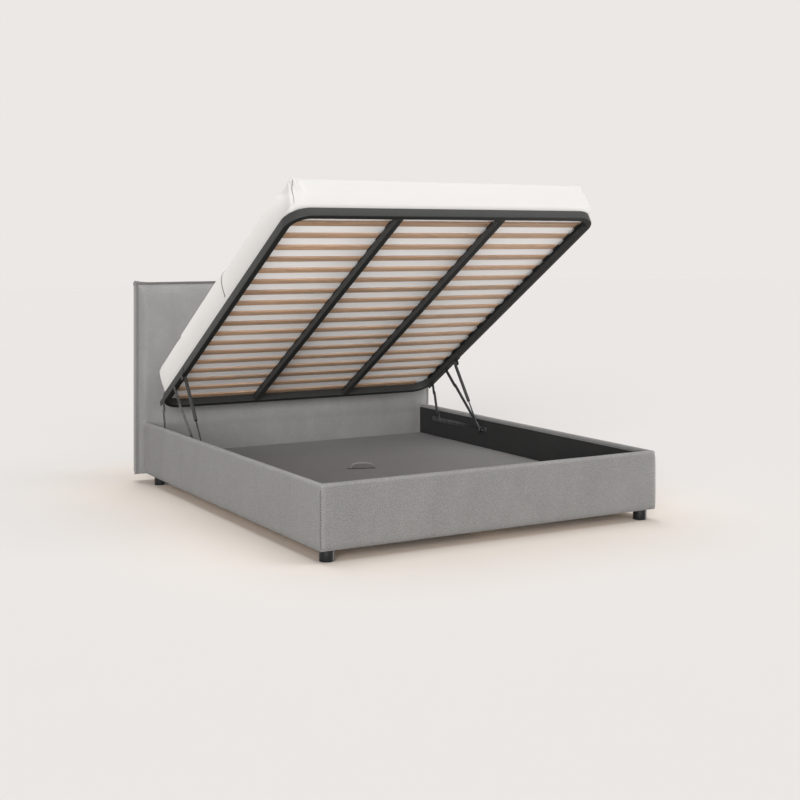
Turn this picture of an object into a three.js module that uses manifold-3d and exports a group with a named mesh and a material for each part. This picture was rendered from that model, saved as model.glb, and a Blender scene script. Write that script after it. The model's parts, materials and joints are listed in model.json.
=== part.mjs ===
// Upholstered ottoman storage bed, shown with its mattress platform lifted.
// Millimetres, +Z up. X runs across the bed and +Y from the foot end to the headboard.
// The origin is on the floor, in the middle of the whole bed's outline.

import * as THREE from 'three';
import { mergeVertices } from 'three/addons/utils/BufferGeometryUtils.js';
import Module from 'manifold-3d';

const wasm = await Module();
wasm.setup();

// Clearance between two pieces that touch, and how far a joined shape reaches into its neighbour
const gap = 0.3;
const bite = 1;

// Steps of round edges, of holes and pins, and of the frame's bends
const edgeSteps = 4;
const circleSteps = 24;
const bendSteps = 8;

// Base box
const baseWidth = 1760;
const baseLength = 2120;
const railHeight = 275;
const railThickness = 25;
const coverThickness = 5;
const coverLipThickness = 4;
const coverLipDepth = 22;
const railOuterRadius = 13;
const railInnerRadius = 9;

// Feet
const footHeight = 50;
const footDiameter = 64;
const footSideInset = 55;
const footFrontInset = 50;
const footRearInset = 90;

// Storage floor and the bearers under it
const floorTop = 150;
const floorThickness = 12;
const floorEdgeClearance = 3;
const bearerWidth = 50;

// Pull loop on the storage floor, measured from the foot face and the middle of the bed
const loopSpan = 124;
const loopHeight = 28;
const loopStrap = 25;
const loopThickness = 2.5;
const loopFromFoot = 1167;
const loopOffCentre = -54;
const loopTurn = THREE.MathUtils.degToRad(-20);

// Headboard
const headboardWidth = 1865;
const headboardTop = 1085.5;
const headboardBottom = 45;
const headboardThickness = 100;
const padDepth = 28;
const padCrown = 3;
const padRoll = 28;
const flangeWidth = 18;
const flangeThickness = 4;
const backCoverThickness = 4;
const padFaceSteps = 12;
const padRollSteps = 5;

// Lifted frame: the clearances it has in the box when it lies flat, and its tubes
const frameSideGap = 18.5;
const frameHeadClearance = 48.2;
const frameFootClearance = 107.8;
const tubeWidth = 31;
const tubeHeight = 43;
const bendRadius = 110;
const barWidth = 31;
const barHeight = 30;
const barShare = 1 / 3;

// Pose of the lifted frame: its tilt, and where the lower edge of its head tube stands
const liftTilt = THREE.MathUtils.degToRad(31.5);
const liftFromHeadboard = 104;
const liftAboveRail = 83;

// Slats, the strips that hold them at the sides and the pads on the two bars
const slatPitch = 103.5;
const slatFromHead = 52;
const slatWidth = 36;
const slatThickness = 8;
const slatEndClearance = 2;
const padStripHeight = 6;
const padStripWeb = 2;
const padLength = 58;
const holderReach = 20;
const holderWeb = 7;
const holderCap = 62;

// Mattress
const mattressThickness = 168;
const mattressSideInset = 11.5;
const mattressFootInset = 14;
const mattressHeadInset = 32;
const mattressCrown = 6;
const mattressDraw = 4;
const mattressLean = 12;
const mattressCorner = 60;
const mattressLowerRadius = 22;
const mattressUpperRadius = 40;
const mattressCornerSteps = 5;
const mattressSideSteps = 7;
const mattressRoundSteps = 4;
const mattressTopSteps = 4;

// Lifting mechanism: pivots on the base, from the headboard's front and below the rail's top
const frontBasePivot = { fromHeadboard: 670, belowRail: 67 };
const rearBasePivot = { fromHeadboard: 216.3, belowRail: 30 };
const gasBasePivot = { fromHeadboard: 707, belowRail: 77.5 };

// Pivots on the frame, from its head end and below the underside of its tubes
const frontFramePivot = { fromHeadEnd: 301, belowTube: 108 };
const rearFramePivot = { fromHeadEnd: 70, belowTube: 45 };
const gasFramePivot = { fromHeadEnd: 395.4, belowTube: 13.4 };

// Plates, arms and pins of the mechanism
const framePlateThickness = 3;
const framePlateHeight = 26;
const framePlateStart = 34;
const framePlateTail = 40;
const basePlateThickness = 3.5;
const basePlateHeight = 24;
const basePlateDrop = 73;
const basePlateTail = 66;
const basePlateTab = 18;
const armClearance = 0.7;
const armThickness = 4;
const armWidth = 20;
const rearArmWidth = 22;
const lugWidth = 22;
const pinDiameter = 10;
const pinClearance = 0.3;
const pinHeadDiameter = 17;
const pinHeadThickness = 2;
const bossDiameter = 16;

// Gas springs
const gasInset = 16.5;
const gasBodyDiameter = 18;
const gasBodyLength = 248.7;
const gasRodDiameter = 8;
const gasBoreClearance = 0.5;
const gasRodEngaged = 42;
const gasEyeDiameter = 17;
const gasEyeThickness = 10;
const gasEndWall = 9;

// Sizes that follow from those above
const railTop = footHeight + railHeight;
const innerHalfWidth = baseWidth / 2 - railThickness;
const floorBottom = floorTop - floorThickness;
const bearerTop = floorBottom - gap;
const frameWidth = 2 * (innerHalfWidth - frameSideGap);
const frameLength = baseLength - railThickness - frameHeadClearance - frameFootClearance;
const frameOuterX = frameWidth / 2;
const slatBottom = barHeight + padStripHeight;
const slatTop = slatBottom + slatThickness;
const slatRun = frameLength - tubeWidth - slatFromHead - slatWidth / 2;
const slatCount = Math.floor(slatRun / slatPitch) + 1;
const flangeFront = baseLength + padDepth;

// Finishes
const finishes = {
  fabric: { color: 0x8f8e8b, roughness: 0.95, metalness: 0 },
  fabricDark: { color: 0x6d6b6a, roughness: 0.95, metalness: 0 },
  lining: { color: 0x262524, roughness: 0.9, metalness: 0 },
  timber: { color: 0xb48f62, roughness: 0.75, metalness: 0 },
  slat: { color: 0x8d6f58, roughness: 0.6, metalness: 0 },
  floorCloth: { color: 0x6c6a6b, roughness: 0.95, metalness: 0 },
  webbing: { color: 0x3a3938, roughness: 0.9, metalness: 0 },
  plastic: { color: 0x1d1d1e, roughness: 0.5, metalness: 0 },
  paint: { color: 0x3b3b3d, roughness: 0.45, metalness: 0.4 },
  steel: { color: 0x55565a, roughness: 0.4, metalness: 0.8 },
  chrome: { color: 0xc9cbce, roughness: 0.15, metalness: 1 },
  ticking: { color: 0xf0eeec, roughness: 0.95, metalness: 0 },
};

function piece(name, geometry, finish) {
  const mesh = new THREE.Mesh(geometry, new THREE.MeshStandardMaterial(finishes[finish]));
  mesh.name = name;
  return mesh;
}

// A geometry as a solid that can be joined and cut, and back again
function solidOf(geometry) {
  const bare = geometry.clone();
  bare.deleteAttribute('normal');
  bare.deleteAttribute('uv');
  const merged = mergeVertices(bare);
  return new wasm.Manifold(new wasm.Mesh({
    numProp: 3,
    vertProperties: new Float32Array(merged.attributes.position.array),
    triVerts: new Uint32Array(merged.index.array),
  }));
}

function geometryOf(solid) {
  const mesh = solid.getMesh();
  const geometry = new THREE.BufferGeometry();
  geometry.setAttribute('position', new THREE.BufferAttribute(mesh.vertProperties, 3));
  geometry.setIndex(new THREE.BufferAttribute(mesh.triVerts, 1));
  geometry.computeVertexNormals();
  return geometry;
}

function joined(geometries) {
  return geometryOf(geometries.map(solidOf).reduce((whole, part) => whole.add(part)));
}

// A box between two corners
function block(from, to) {
  const size = [0, 1, 2].map((i) => to[i] - from[i]);
  const middle = [0, 1, 2].map((i) => (to[i] + from[i]) / 2);
  return new THREE.BoxGeometry(...size).translate(...middle);
}

// A flat shape drawn in the side view, Y to the right and Z up, thickened along X
const sideView = new THREE.Matrix4().makeBasis(
  new THREE.Vector3(0, 1, 0),
  new THREE.Vector3(0, 0, 1),
  new THREE.Vector3(1, 0, 0),
);

function sidePlate(shape, thickness) {
  const options = { depth: thickness, bevelEnabled: false, curveSegments: circleSteps / 2 };
  return new THREE.ExtrudeGeometry(shape, options).applyMatrix4(sideView);
}

// A bar with round ends in the side view, from one point to another
function linkShape(from, to, width) {
  const along = Math.atan2(to[1] - from[1], to[0] - from[0]);
  const quarter = Math.PI / 2;
  const shape = new THREE.Shape();
  shape.absarc(from[0], from[1], width / 2, along + quarter, along + 3 * quarter, false);
  shape.absarc(to[0], to[1], width / 2, along - quarter, along + quarter, false);
  shape.closePath();
  return shape;
}

function drill(shape, at, diameter) {
  const hole = new THREE.Path();
  hole.absarc(at[0], at[1], diameter / 2, 0, 2 * Math.PI, true);
  shape.holes.push(hole);
}

// A round pin across the bed, between two distances from its middle plane
function pinAcross(side, at, diameter, inner, outer) {
  const radius = diameter / 2;
  const pin = new THREE.CylinderGeometry(radius, radius, outer - inner, circleSteps);
  return pin.rotateZ(Math.PI / 2).translate(side * (inner + outer) / 2, at[0], at[1]);
}

// Left edge of a layer that lies between two distances from the middle plane
function layerStart(side, inner, outer) {
  return side > 0 ? inner : -outer;
}

// Headboard

// Share of the full depth that the pad has towards one edge, where it rolls down to its seam
function rollShare(distance, half) {
  const past = Math.max(0, Math.abs(distance) - (half - padRoll)) / padRoll;
  return Math.sqrt(Math.max(0, 1 - past * past));
}

const padHalfWidth = headboardWidth / 2 - flangeWidth;
const padHalfHeight = (headboardTop - headboardBottom) / 2 - flangeWidth;
const padMiddleHeight = (headboardTop + headboardBottom) / 2;

// How far the pad stands out in front of its seam
function padStand(x, z) {
  const up = z - padMiddleHeight;
  const across = 1 - (x / padHalfWidth) ** 2;
  const along = 1 - (up / padHalfHeight) ** 2;
  const depth = padDepth - padCrown + padCrown * across * along;
  return depth * rollShare(x, padHalfWidth) * rollShare(up, padHalfHeight);
}

// Distance from the foot face to the pad's front at a place on it
function padFront(x, z) {
  return flangeFront - padStand(x, z);
}

// Grid lines from edge to edge, close together where the pad rolls down
function padLines(half) {
  const rolled = [];
  for (let i = 0; i <= padRollSteps; i += 1) {
    rolled.push(half - padRoll * (1 - Math.sin((Math.PI / 2) * (i / padRollSteps))));
  }
  const flat = [];
  for (let i = 1; i < padFaceSteps; i += 1) {
    flat.push((half - padRoll) * (2 * i / padFaceSteps - 1));
  }
  return [...rolled.map((value) => -value).reverse(), ...flat, ...rolled];
}

function headboardPad() {
  const columns = padLines(padHalfWidth);
  const rows = padLines(padHalfHeight);
  const points = [];
  const faces = [];
  const number = (layer, i, j) => (layer * rows.length + j) * columns.length + i;
  for (const layer of [0, 1]) {
    for (const up of rows) {
      for (const x of columns) {
        const z = padMiddleHeight + up;
        const y = layer === 0 ? flangeFront : padFront(x, z);
        points.push(x, y - gap, z);
      }
    }
  }
  for (let j = 0; j + 1 < rows.length; j += 1) {
    for (let i = 0; i + 1 < columns.length; i += 1) {
      const back = [number(0, i, j), number(0, i + 1, j), number(0, i + 1, j + 1), number(0, i, j + 1)];
      const front = [number(1, i, j), number(1, i + 1, j), number(1, i + 1, j + 1), number(1, i, j + 1)];
      faces.push(back[0], back[2], back[1], back[0], back[3], back[2]);
      faces.push(front[0], front[1], front[2], front[0], front[2], front[3]);
    }
  }
  const geometry = new THREE.BufferGeometry();
  geometry.setAttribute('position', new THREE.Float32BufferAttribute(points, 3));
  geometry.setIndex(faces);
  const closed = mergeVertices(geometry);
  closed.computeVertexNormals();
  return piece('headboard_front_pad', closed, 'fabric');
}

// The back cover is a tray whose rim is turned out into the flange
function headboardBack() {
  const back = baseLength + headboardThickness;
  const flangeBack = flangeFront + flangeThickness;
  const low = padMiddleHeight - padHalfHeight;
  const high = padMiddleHeight + padHalfHeight;
  const wall = backCoverThickness;
  const flange = block(
    [-headboardWidth / 2, flangeFront, headboardBottom],
    [headboardWidth / 2, flangeBack, headboardTop],
  );
  const shell = block([-padHalfWidth, flangeBack - bite, low], [padHalfWidth, back, high]);
  const hollow = block(
    [-padHalfWidth + wall, flangeFront - bite, low + wall],
    [padHalfWidth - wall, back - wall, high - wall],
  );
  const core = block(
    [-padHalfWidth + wall + gap, flangeFront, low + wall + gap],
    [padHalfWidth - wall - gap, back - wall - gap, high - wall - gap],
  );
  const tray = solidOf(flange).add(solidOf(shell)).subtract(solidOf(hollow));
  return [
    piece('headboard_back_cover', geometryOf(tray), 'fabric'),
    piece('headboard_core', core, 'timber'),
  ];
}

// Rails: a board, and a cover that wraps over its top and a little way down inside

// The cover's section: distance inwards from the outer face, and height
function coverSection() {
  const inner = railThickness - coverLipThickness;
  const lip = railTop - coverLipDepth;
  const under = railTop - coverThickness;
  const shape = new THREE.Shape();
  shape.moveTo(0, footHeight);
  shape.lineTo(coverThickness, footHeight);
  shape.lineTo(coverThickness, under);
  shape.lineTo(inner, under);
  shape.lineTo(inner, lip);
  shape.lineTo(railThickness, lip);
  const innerCorner = [railThickness - railInnerRadius, railTop - railInnerRadius];
  shape.absarc(innerCorner[0], innerCorner[1], railInnerRadius, 0, Math.PI / 2, false);
  const outerCorner = [railOuterRadius, railTop - railOuterRadius];
  shape.absarc(outerCorner[0], outerCorner[1], railOuterRadius, Math.PI / 2, Math.PI, false);
  shape.closePath();
  return shape;
}

function boardSection() {
  const outer = coverThickness + gap;
  const inner = railThickness - coverLipThickness - gap;
  const step = railTop - coverLipDepth - gap;
  const top = railTop - coverThickness - gap;
  const corners = [
    [outer, footHeight],
    [railThickness, footHeight],
    [railThickness, step],
    [inner, step],
    [inner, top],
    [outer, top],
  ];
  return new THREE.Shape(corners.map((corner) => new THREE.Vector2(...corner)));
}

// A rail's section run along its length, with mitred ends: 1 for a mitre, 0 for a square end
function railRun(section, length, mitreShares) {
  const options = { depth: length, bevelEnabled: false, curveSegments: edgeSteps };
  const geometry = new THREE.ExtrudeGeometry(section, options);
  const places = geometry.attributes.position;
  for (let i = 0; i < places.count; i += 1) {
    const along = places.getZ(i);
    const inwards = places.getX(i);
    const atStart = along < length / 2;
    const moved = atStart ? along + inwards * mitreShares[0] : along - inwards * mitreShares[1];
    places.setZ(i, moved);
  }
  return geometry;
}

function rails() {
  const sideEnd = padFront(innerHalfWidth, railTop) - 2 * gap;
  const sideRun = sideEnd - gap;
  const footRun = baseWidth - 2 * gap;
  const halfWidth = baseWidth / 2;
  const up = new THREE.Vector3(0, 0, 1);
  const across = new THREE.Vector3(1, 0, 0);
  const along = new THREE.Vector3(0, 1, 0);
  const leftBasis = new THREE.Matrix4().makeBasis(across, up, along.clone().negate());
  const rightBasis = new THREE.Matrix4().makeBasis(across.clone().negate(), up, along);
  const footBasis = new THREE.Matrix4().makeBasis(along, up, across);
  const kinds = [
    ['board', boardSection(), 'lining'],
    ['cover', coverSection(), 'fabric'],
  ];
  const pieces = [];
  for (const [kind, section, finish] of kinds) {
    const left = railRun(section, sideRun, [0, 1]).applyMatrix4(leftBasis);
    left.translate(-halfWidth, sideEnd, 0);
    const right = railRun(section, sideRun, [1, 0]).applyMatrix4(rightBasis);
    right.translate(halfWidth, gap, 0);
    const foot = railRun(section, footRun, [1, 1]).applyMatrix4(footBasis);
    foot.translate(-halfWidth + gap, 0, 0);
    pieces.push(piece(`side_rail_left_${kind}`, left, finish));
    pieces.push(piece(`side_rail_right_${kind}`, right, finish));
    pieces.push(piece(`foot_rail_${kind}`, foot, finish));
  }
  return pieces;
}

function feet() {
  const radius = footDiameter / 2;
  const height = footHeight - gap;
  const pieces = [];
  for (const [sideName, side] of [['left', -1], ['right', 1]]) {
    for (const [endName, y] of [['front', footFrontInset], ['rear', baseLength - footRearInset]]) {
      const foot = new THREE.CylinderGeometry(radius, radius, height, circleSteps);
      const mesh = piece(`foot_${endName}_${sideName}`, foot, 'plastic');
      mesh.rotation.x = Math.PI / 2;
      mesh.position.set(side * (baseWidth / 2 - footSideInset), y, height / 2);
      pieces.push(mesh);
    }
  }
  return pieces;
}

// Bearers that carry the storage floor
function bearers() {
  const outer = innerHalfWidth - gap;
  const inner = outer - bearerWidth;
  const front = railThickness + gap;
  const rear = padFront(0, floorBottom) - 2 * gap;
  const sideRear = padFront(innerHalfWidth, floorBottom) - 2 * gap;
  const crossReach = inner - gap;
  const beamFront = front + bearerWidth + gap;
  const beamRear = rear - bearerWidth - gap;
  const low = footHeight;
  const high = bearerTop;
  const boxes = {
    bearer_side_left: [[-outer, front, low], [-inner, sideRear, high]],
    bearer_side_right: [[inner, front, low], [outer, sideRear, high]],
    bearer_cross_foot: [[-crossReach, front, low], [crossReach, front + bearerWidth, high]],
    bearer_cross_head: [[-crossReach, rear - bearerWidth, low], [crossReach, rear, high]],
    bearer_middle: [[-bearerWidth / 2, beamFront, low], [bearerWidth / 2, beamRear, high]],
  };
  return Object.entries(boxes).map(([name, [from, to]]) => piece(name, block(from, to), 'timber'));
}

// The panel lifts out between two fixed ledges, which lie under the closed mechanism
function storageFloor() {
  const reach = frameOuterX - floorEdgeClearance;
  const edge = innerHalfWidth - gap;
  const front = railThickness + floorEdgeClearance;
  const rear = baseLength - floorEdgeClearance;
  const panel = block([-reach, front, floorBottom], [reach, rear, floorTop]);
  const ledgeLeft = block([-edge, front, floorBottom], [-frameOuterX, rear, floorTop]);
  const ledgeRight = block([frameOuterX, front, floorBottom], [edge, rear, floorTop]);

  const arch = new THREE.Shape();
  const outerReach = loopSpan / 2;
  const innerReach = outerReach - loopThickness;
  const innerHeight = loopHeight - loopThickness;
  arch.absellipse(0, 0, outerReach, loopHeight, 0, Math.PI, false);
  arch.absellipse(0, 0, innerReach, innerHeight, Math.PI, 0, true);
  arch.closePath();
  const options = { depth: loopStrap, bevelEnabled: false, curveSegments: circleSteps / 2 };
  const strap = new THREE.ExtrudeGeometry(arch, options).translate(0, 0, -loopStrap / 2);
  strap.rotateX(Math.PI / 2);
  const loop = piece('floor_pull_loop', strap, 'webbing');
  loop.rotation.z = loopTurn;
  loop.position.set(loopOffCentre, loopFromFoot, floorTop + gap);
  return [
    piece('storage_floor_panel', panel, 'floorCloth'),
    piece('floor_ledge_left', ledgeLeft, 'floorCloth'),
    piece('floor_ledge_right', ledgeRight, 'floorCloth'),
    loop,
  ];
}

// Lifted frame, in its own group: Y runs from the foot end at -frameLength to the head end at 0

function roundedOutline(path, halfWidth, from, to, radius) {
  const quarter = Math.PI / 2;
  path.absarc(halfWidth - radius, to - radius, radius, 0, quarter, false);
  path.absarc(-halfWidth + radius, to - radius, radius, quarter, 2 * quarter, false);
  path.absarc(-halfWidth + radius, from + radius, radius, 2 * quarter, 3 * quarter, false);
  path.absarc(halfWidth - radius, from + radius, radius, 3 * quarter, 4 * quarter, false);
  path.closePath();
  return path;
}

function frameTubes() {
  const outline = roundedOutline(new THREE.Shape(), frameOuterX, -frameLength, 0, bendRadius);
  const inner = new THREE.Path();
  const innerX = frameOuterX - tubeWidth;
  roundedOutline(inner, innerX, tubeWidth - frameLength, -tubeWidth, bendRadius - tubeWidth);
  outline.holes.push(inner);
  const options = { depth: tubeHeight, bevelEnabled: false, curveSegments: bendSteps / 2 };
  const pieces = [piece('platform_perimeter_tube', new THREE.ExtrudeGeometry(outline, options), 'paint')];
  for (const [sideName, side] of [['left', -1], ['right', 1]]) {
    const middle = side * frameOuterX * barShare;
    const from = [middle - barWidth / 2, tubeWidth + gap - frameLength, 0];
    const to = [middle + barWidth / 2, -tubeWidth - gap, barHeight];
    pieces.push(piece(`platform_bar_${sideName}`, block(from, to), 'paint'));
  }
  return pieces;
}

function slatPlace(index) {
  return -(slatFromHead + index * slatPitch);
}

// Half the length of a slat: up to the frame's inner face, which turns in at the bends
function slatReach(place) {
  const radius = bendRadius - tubeWidth;
  const centre = frameOuterX - bendRadius;
  const middle = -frameLength / 2;
  const edge = Math.abs(place - middle) + slatWidth / 2;
  const past = Math.max(0, edge - (frameLength / 2 - bendRadius));
  return centre + Math.sqrt(radius * radius - past * past) - slatEndClearance;
}

function slats() {
  const pieces = [];
  for (let i = 0; i < slatCount; i += 1) {
    const reach = slatReach(slatPlace(i));
    const slat = new THREE.BoxGeometry(2 * reach, slatWidth, slatThickness);
    const mesh = piece(`slat_${String(i + 1).padStart(2, '0')}`, slat, 'slat');
    mesh.position.set(0, slatPlace(i), slatBottom + slatThickness / 2);
    pieces.push(mesh);
  }
  return pieces;
}

// A strip along each bar, raised to a pad under every slat
function barPads() {
  const low = barHeight + gap;
  const web = low + padStripWeb;
  const high = slatBottom - gap;
  const half = padLength / 2;
  const start = Math.min(slatPlace(0) + half, -tubeWidth - 2 * gap);
  const shape = new THREE.Shape();
  shape.moveTo(start, low);
  shape.lineTo(start, high);
  for (let i = 0; i < slatCount; i += 1) {
    const middle = slatPlace(i);
    if (i > 0) shape.lineTo(middle + half, web);
    if (i > 0) shape.lineTo(middle + half, high);
    shape.lineTo(middle - half, high);
    if (i + 1 < slatCount) shape.lineTo(middle - half, web);
  }
  shape.lineTo(slatPlace(slatCount - 1) - half, low);
  shape.closePath();
  const pieces = [];
  for (const [sideName, side] of [['left', -1], ['right', 1]]) {
    const mesh = piece(`bar_pad_strip_${sideName}`, sidePlate(shape, barWidth), 'plastic');
    mesh.position.x = side * frameOuterX * barShare - barWidth / 2;
    pieces.push(mesh);
  }
  return pieces;
}

// A strip along the straight run of each side tube's inner face, with a cap under each slat's end
function slatHolders() {
  const root = frameOuterX - tubeWidth - gap;
  const web = root - holderWeb;
  const tip = root - holderReach;
  const half = holderCap / 2;
  const round = root - holderWeb - tip;
  const low = barHeight + gap;
  const depth = slatBottom - gap - low;
  const pieces = [];
  for (const [sideName, side] of [['left', -1], ['right', 1]]) {
    const shape = new THREE.Shape();
    const first = -bendRadius;
    const last = bendRadius - frameLength;
    shape.moveTo(root, last);
    shape.lineTo(root, first);
    shape.lineTo(web, first);
    for (let i = 0; i < slatCount; i += 1) {
      const high = Math.min(slatPlace(i) + half, first);
      const under = Math.max(slatPlace(i) - half, last);
      if (high - under > 2 * round) {
        shape.absarc(web, high - round, round, Math.PI / 2, Math.PI, false);
        shape.absarc(web, under + round, round, Math.PI, 1.5 * Math.PI, false);
      }
    }
    shape.lineTo(web, last);
    shape.closePath();
    const options = { depth, bevelEnabled: false, curveSegments: edgeSteps / 2 };
    const strip = new THREE.ExtrudeGeometry(shape, options);
    if (side < 0) strip.rotateZ(Math.PI).translate(0, first + last, 0);
    const mesh = piece(`slat_holder_strip_${sideName}`, strip, 'plastic');
    mesh.position.z = low;
    pieces.push(mesh);
  }
  return pieces;
}

// Mattress: rings of points from the middle of its underside, round the edge, to its crown

// One ring: a rectangle with round corners whose sides draw in between them
function mattressRing(inset, height) {
  const halfWidth = frameOuterX - mattressSideInset;
  const halfLength = (frameLength - mattressFootInset - mattressHeadInset) / 2;
  const middle = -mattressHeadInset - halfLength;
  const straightX = halfWidth - mattressCorner;
  const straightY = halfLength - mattressCorner;
  const radius = Math.max(mattressCorner - inset, mattressCorner / 2);
  const centreX = halfWidth - inset - radius;
  const centreY = halfLength - inset - radius;
  const corners = [[1, 1], [-1, 1], [-1, -1], [1, -1]];
  const ring = [];
  for (let corner = 0; corner < corners.length; corner += 1) {
    const [sx, sy] = corners[corner];
    for (let i = 0; i <= mattressCornerSteps; i += 1) {
      const angle = (Math.PI / 2) * (corner + i / mattressCornerSteps);
      const x = sx * centreX + radius * Math.cos(angle);
      const y = sy * centreY + radius * Math.sin(angle);
      ring.push([x, middle + y, height]);
    }
    for (let i = 1; i < mattressSideSteps; i += 1) {
      const share = 1 - 2 * i / mattressSideSteps;
      const drawn = mattressDraw * (1 - share * share);
      const along = corner % 2 === 0
        ? [sx * share * straightX, sy * (halfLength - inset - drawn)]
        : [sx * (halfWidth - inset - drawn), sy * share * straightY];
      ring.push([along[0], middle + along[1], height]);
    }
  }
  return ring;
}

function mattress() {
  const rings = [];
  const middleY = -(mattressHeadInset + frameLength - mattressFootInset) / 2;
  const halfWidth = frameOuterX - mattressSideInset;
  const quarter = Math.PI / 2;
  const shrink = (ring, share, height) => ring.map(([x, y]) => [x * share, middleY + (y - middleY) * share, height]);
  const bottom = mattressRing(mattressLowerRadius, 0);
  for (let i = 1; i <= mattressTopSteps; i += 1) {
    rings.push(shrink(bottom, i / mattressTopSteps, 0));
  }
  for (let i = 1; i <= mattressRoundSteps; i += 1) {
    const angle = quarter * (i / mattressRoundSteps);
    const inset = mattressLowerRadius * (1 - Math.sin(angle));
    rings.push(mattressRing(inset, mattressLowerRadius * (1 - Math.cos(angle))));
  }
  const shoulder = mattressThickness - mattressCrown - mattressUpperRadius;
  for (let i = 0; i <= mattressRoundSteps; i += 1) {
    const angle = quarter * (i / mattressRoundSteps);
    const inset = mattressLean + mattressUpperRadius * (1 - Math.cos(angle));
    rings.push(mattressRing(inset, shoulder + mattressUpperRadius * Math.sin(angle)));
  }
  const rim = rings[rings.length - 1];
  for (let i = mattressTopSteps - 1; i >= 1; i -= 1) {
    const share = i / mattressTopSteps;
    const height = shoulder + mattressUpperRadius + mattressCrown * (1 - share * share);
    rings.push(shrink(rim, share, height));
  }
  const count = rings[0].length;
  const points = [[0, middleY, 0], ...rings.flat(), [0, middleY, mattressThickness]];
  const last = points.length - 1;
  const faces = [];
  for (let i = 0; i < count; i += 1) {
    const next = (i + 1) % count;
    faces.push(0, 1 + next, 1 + i);
    for (let r = 0; r + 1 < rings.length; r += 1) {
      const low = 1 + r * count;
      const high = low + count;
      faces.push(low + i, low + next, high + next, low + i, high + next, high + i);
    }
    const top = 1 + (rings.length - 1) * count;
    faces.push(last, top + i, top + next);
  }
  const geometry = new THREE.BufferGeometry();
  geometry.setAttribute('position', new THREE.Float32BufferAttribute(points.flat(), 3));
  geometry.setIndex(faces);
  geometry.computeVertexNormals();
  const mesh = piece('mattress', geometry, 'ticking');
  mesh.position.z = slatTop + gap;
  return [mesh];
}

// Lifting mechanism

// Layers of the mechanism, as distances from the bed's middle plane
const framePlateInner = frameOuterX + gap;
const framePlateOuter = framePlateInner + framePlateThickness;
const armInner = framePlateOuter + armClearance;
const armOuter = armInner + armThickness;
const basePlateOuter = innerHalfWidth - gap;
const basePlateInner = basePlateOuter - basePlateThickness;
const gasMiddle = frameOuterX - gasInset;

// Places in the side view: distance from the foot face, and height
const headEdge = [baseLength - liftFromHeadboard, railTop + liftAboveRail];

function onBase(pivot) {
  return [baseLength - pivot.fromHeadboard, railTop - pivot.belowRail];
}

function onFrame(pivot) {
  return [-pivot.fromHeadEnd, -pivot.belowTube];
}

function lifted([along, up]) {
  const cos = Math.cos(liftTilt);
  const sin = Math.sin(liftTilt);
  return [headEdge[0] + along * cos + up * sin, headEdge[1] - along * sin + up * cos];
}

// The same direction as seen from the tilted frame, scaled so that it climbs to a given height
function frameDirection(from, to) {
  const cos = Math.cos(liftTilt);
  const sin = Math.sin(liftTilt);
  const [y, z] = [to[0] - from[0], to[1] - from[1]];
  return [y * cos - z * sin, y * sin + z * cos];
}

function distance(from, to) {
  return Math.hypot(to[0] - from[0], to[1] - from[1]);
}

function angleOf(from, to) {
  return Math.atan2(to[1] - from[1], to[0] - from[0]);
}

// Plate on the base's rail, with the three fixed pins
function baseBracket(side) {
  const front = onBase(frontBasePivot);
  const rear = onBase(rearBasePivot);
  const gas = onBase(gasBasePivot);
  const middle = railTop - basePlateDrop;
  const half = basePlateHeight / 2;
  const strip = new THREE.Shape();
  const corners = [
    [gas[0] - basePlateTab, middle - half],
    [rear[0] + basePlateTail, middle - half],
    [rear[0] + basePlateTail, middle + half],
    [gas[0] - basePlateTab, middle + half],
  ];
  strip.setFromPoints(corners.map((corner) => new THREE.Vector2(...corner)));
  const lug = linkShape([rear[0], middle], rear, lugWidth + bite);
  const start = layerStart(side, basePlateInner, basePlateOuter);
  const inPlate = basePlateOuter - gap;
  const bossInner = armOuter + armClearance;
  const shapes = [
    sidePlate(strip, basePlateThickness).translate(start, 0, 0),
    sidePlate(lug, basePlateThickness).translate(start, 0, 0),
    pinAcross(side, front, bossDiameter, bossInner, inPlate),
    pinAcross(side, front, pinDiameter, armInner - gap - pinHeadThickness, inPlate),
    pinAcross(side, front, pinHeadDiameter, armInner - gap - pinHeadThickness, armInner - gap),
    pinAcross(side, rear, bossDiameter, bossInner, inPlate),
    pinAcross(side, rear, pinDiameter, armInner, inPlate),
    pinAcross(side, gas, pinDiameter, gasMiddle - gasEyeThickness / 2 - gap, inPlate),
  ];
  return joined(shapes);
}

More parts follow.
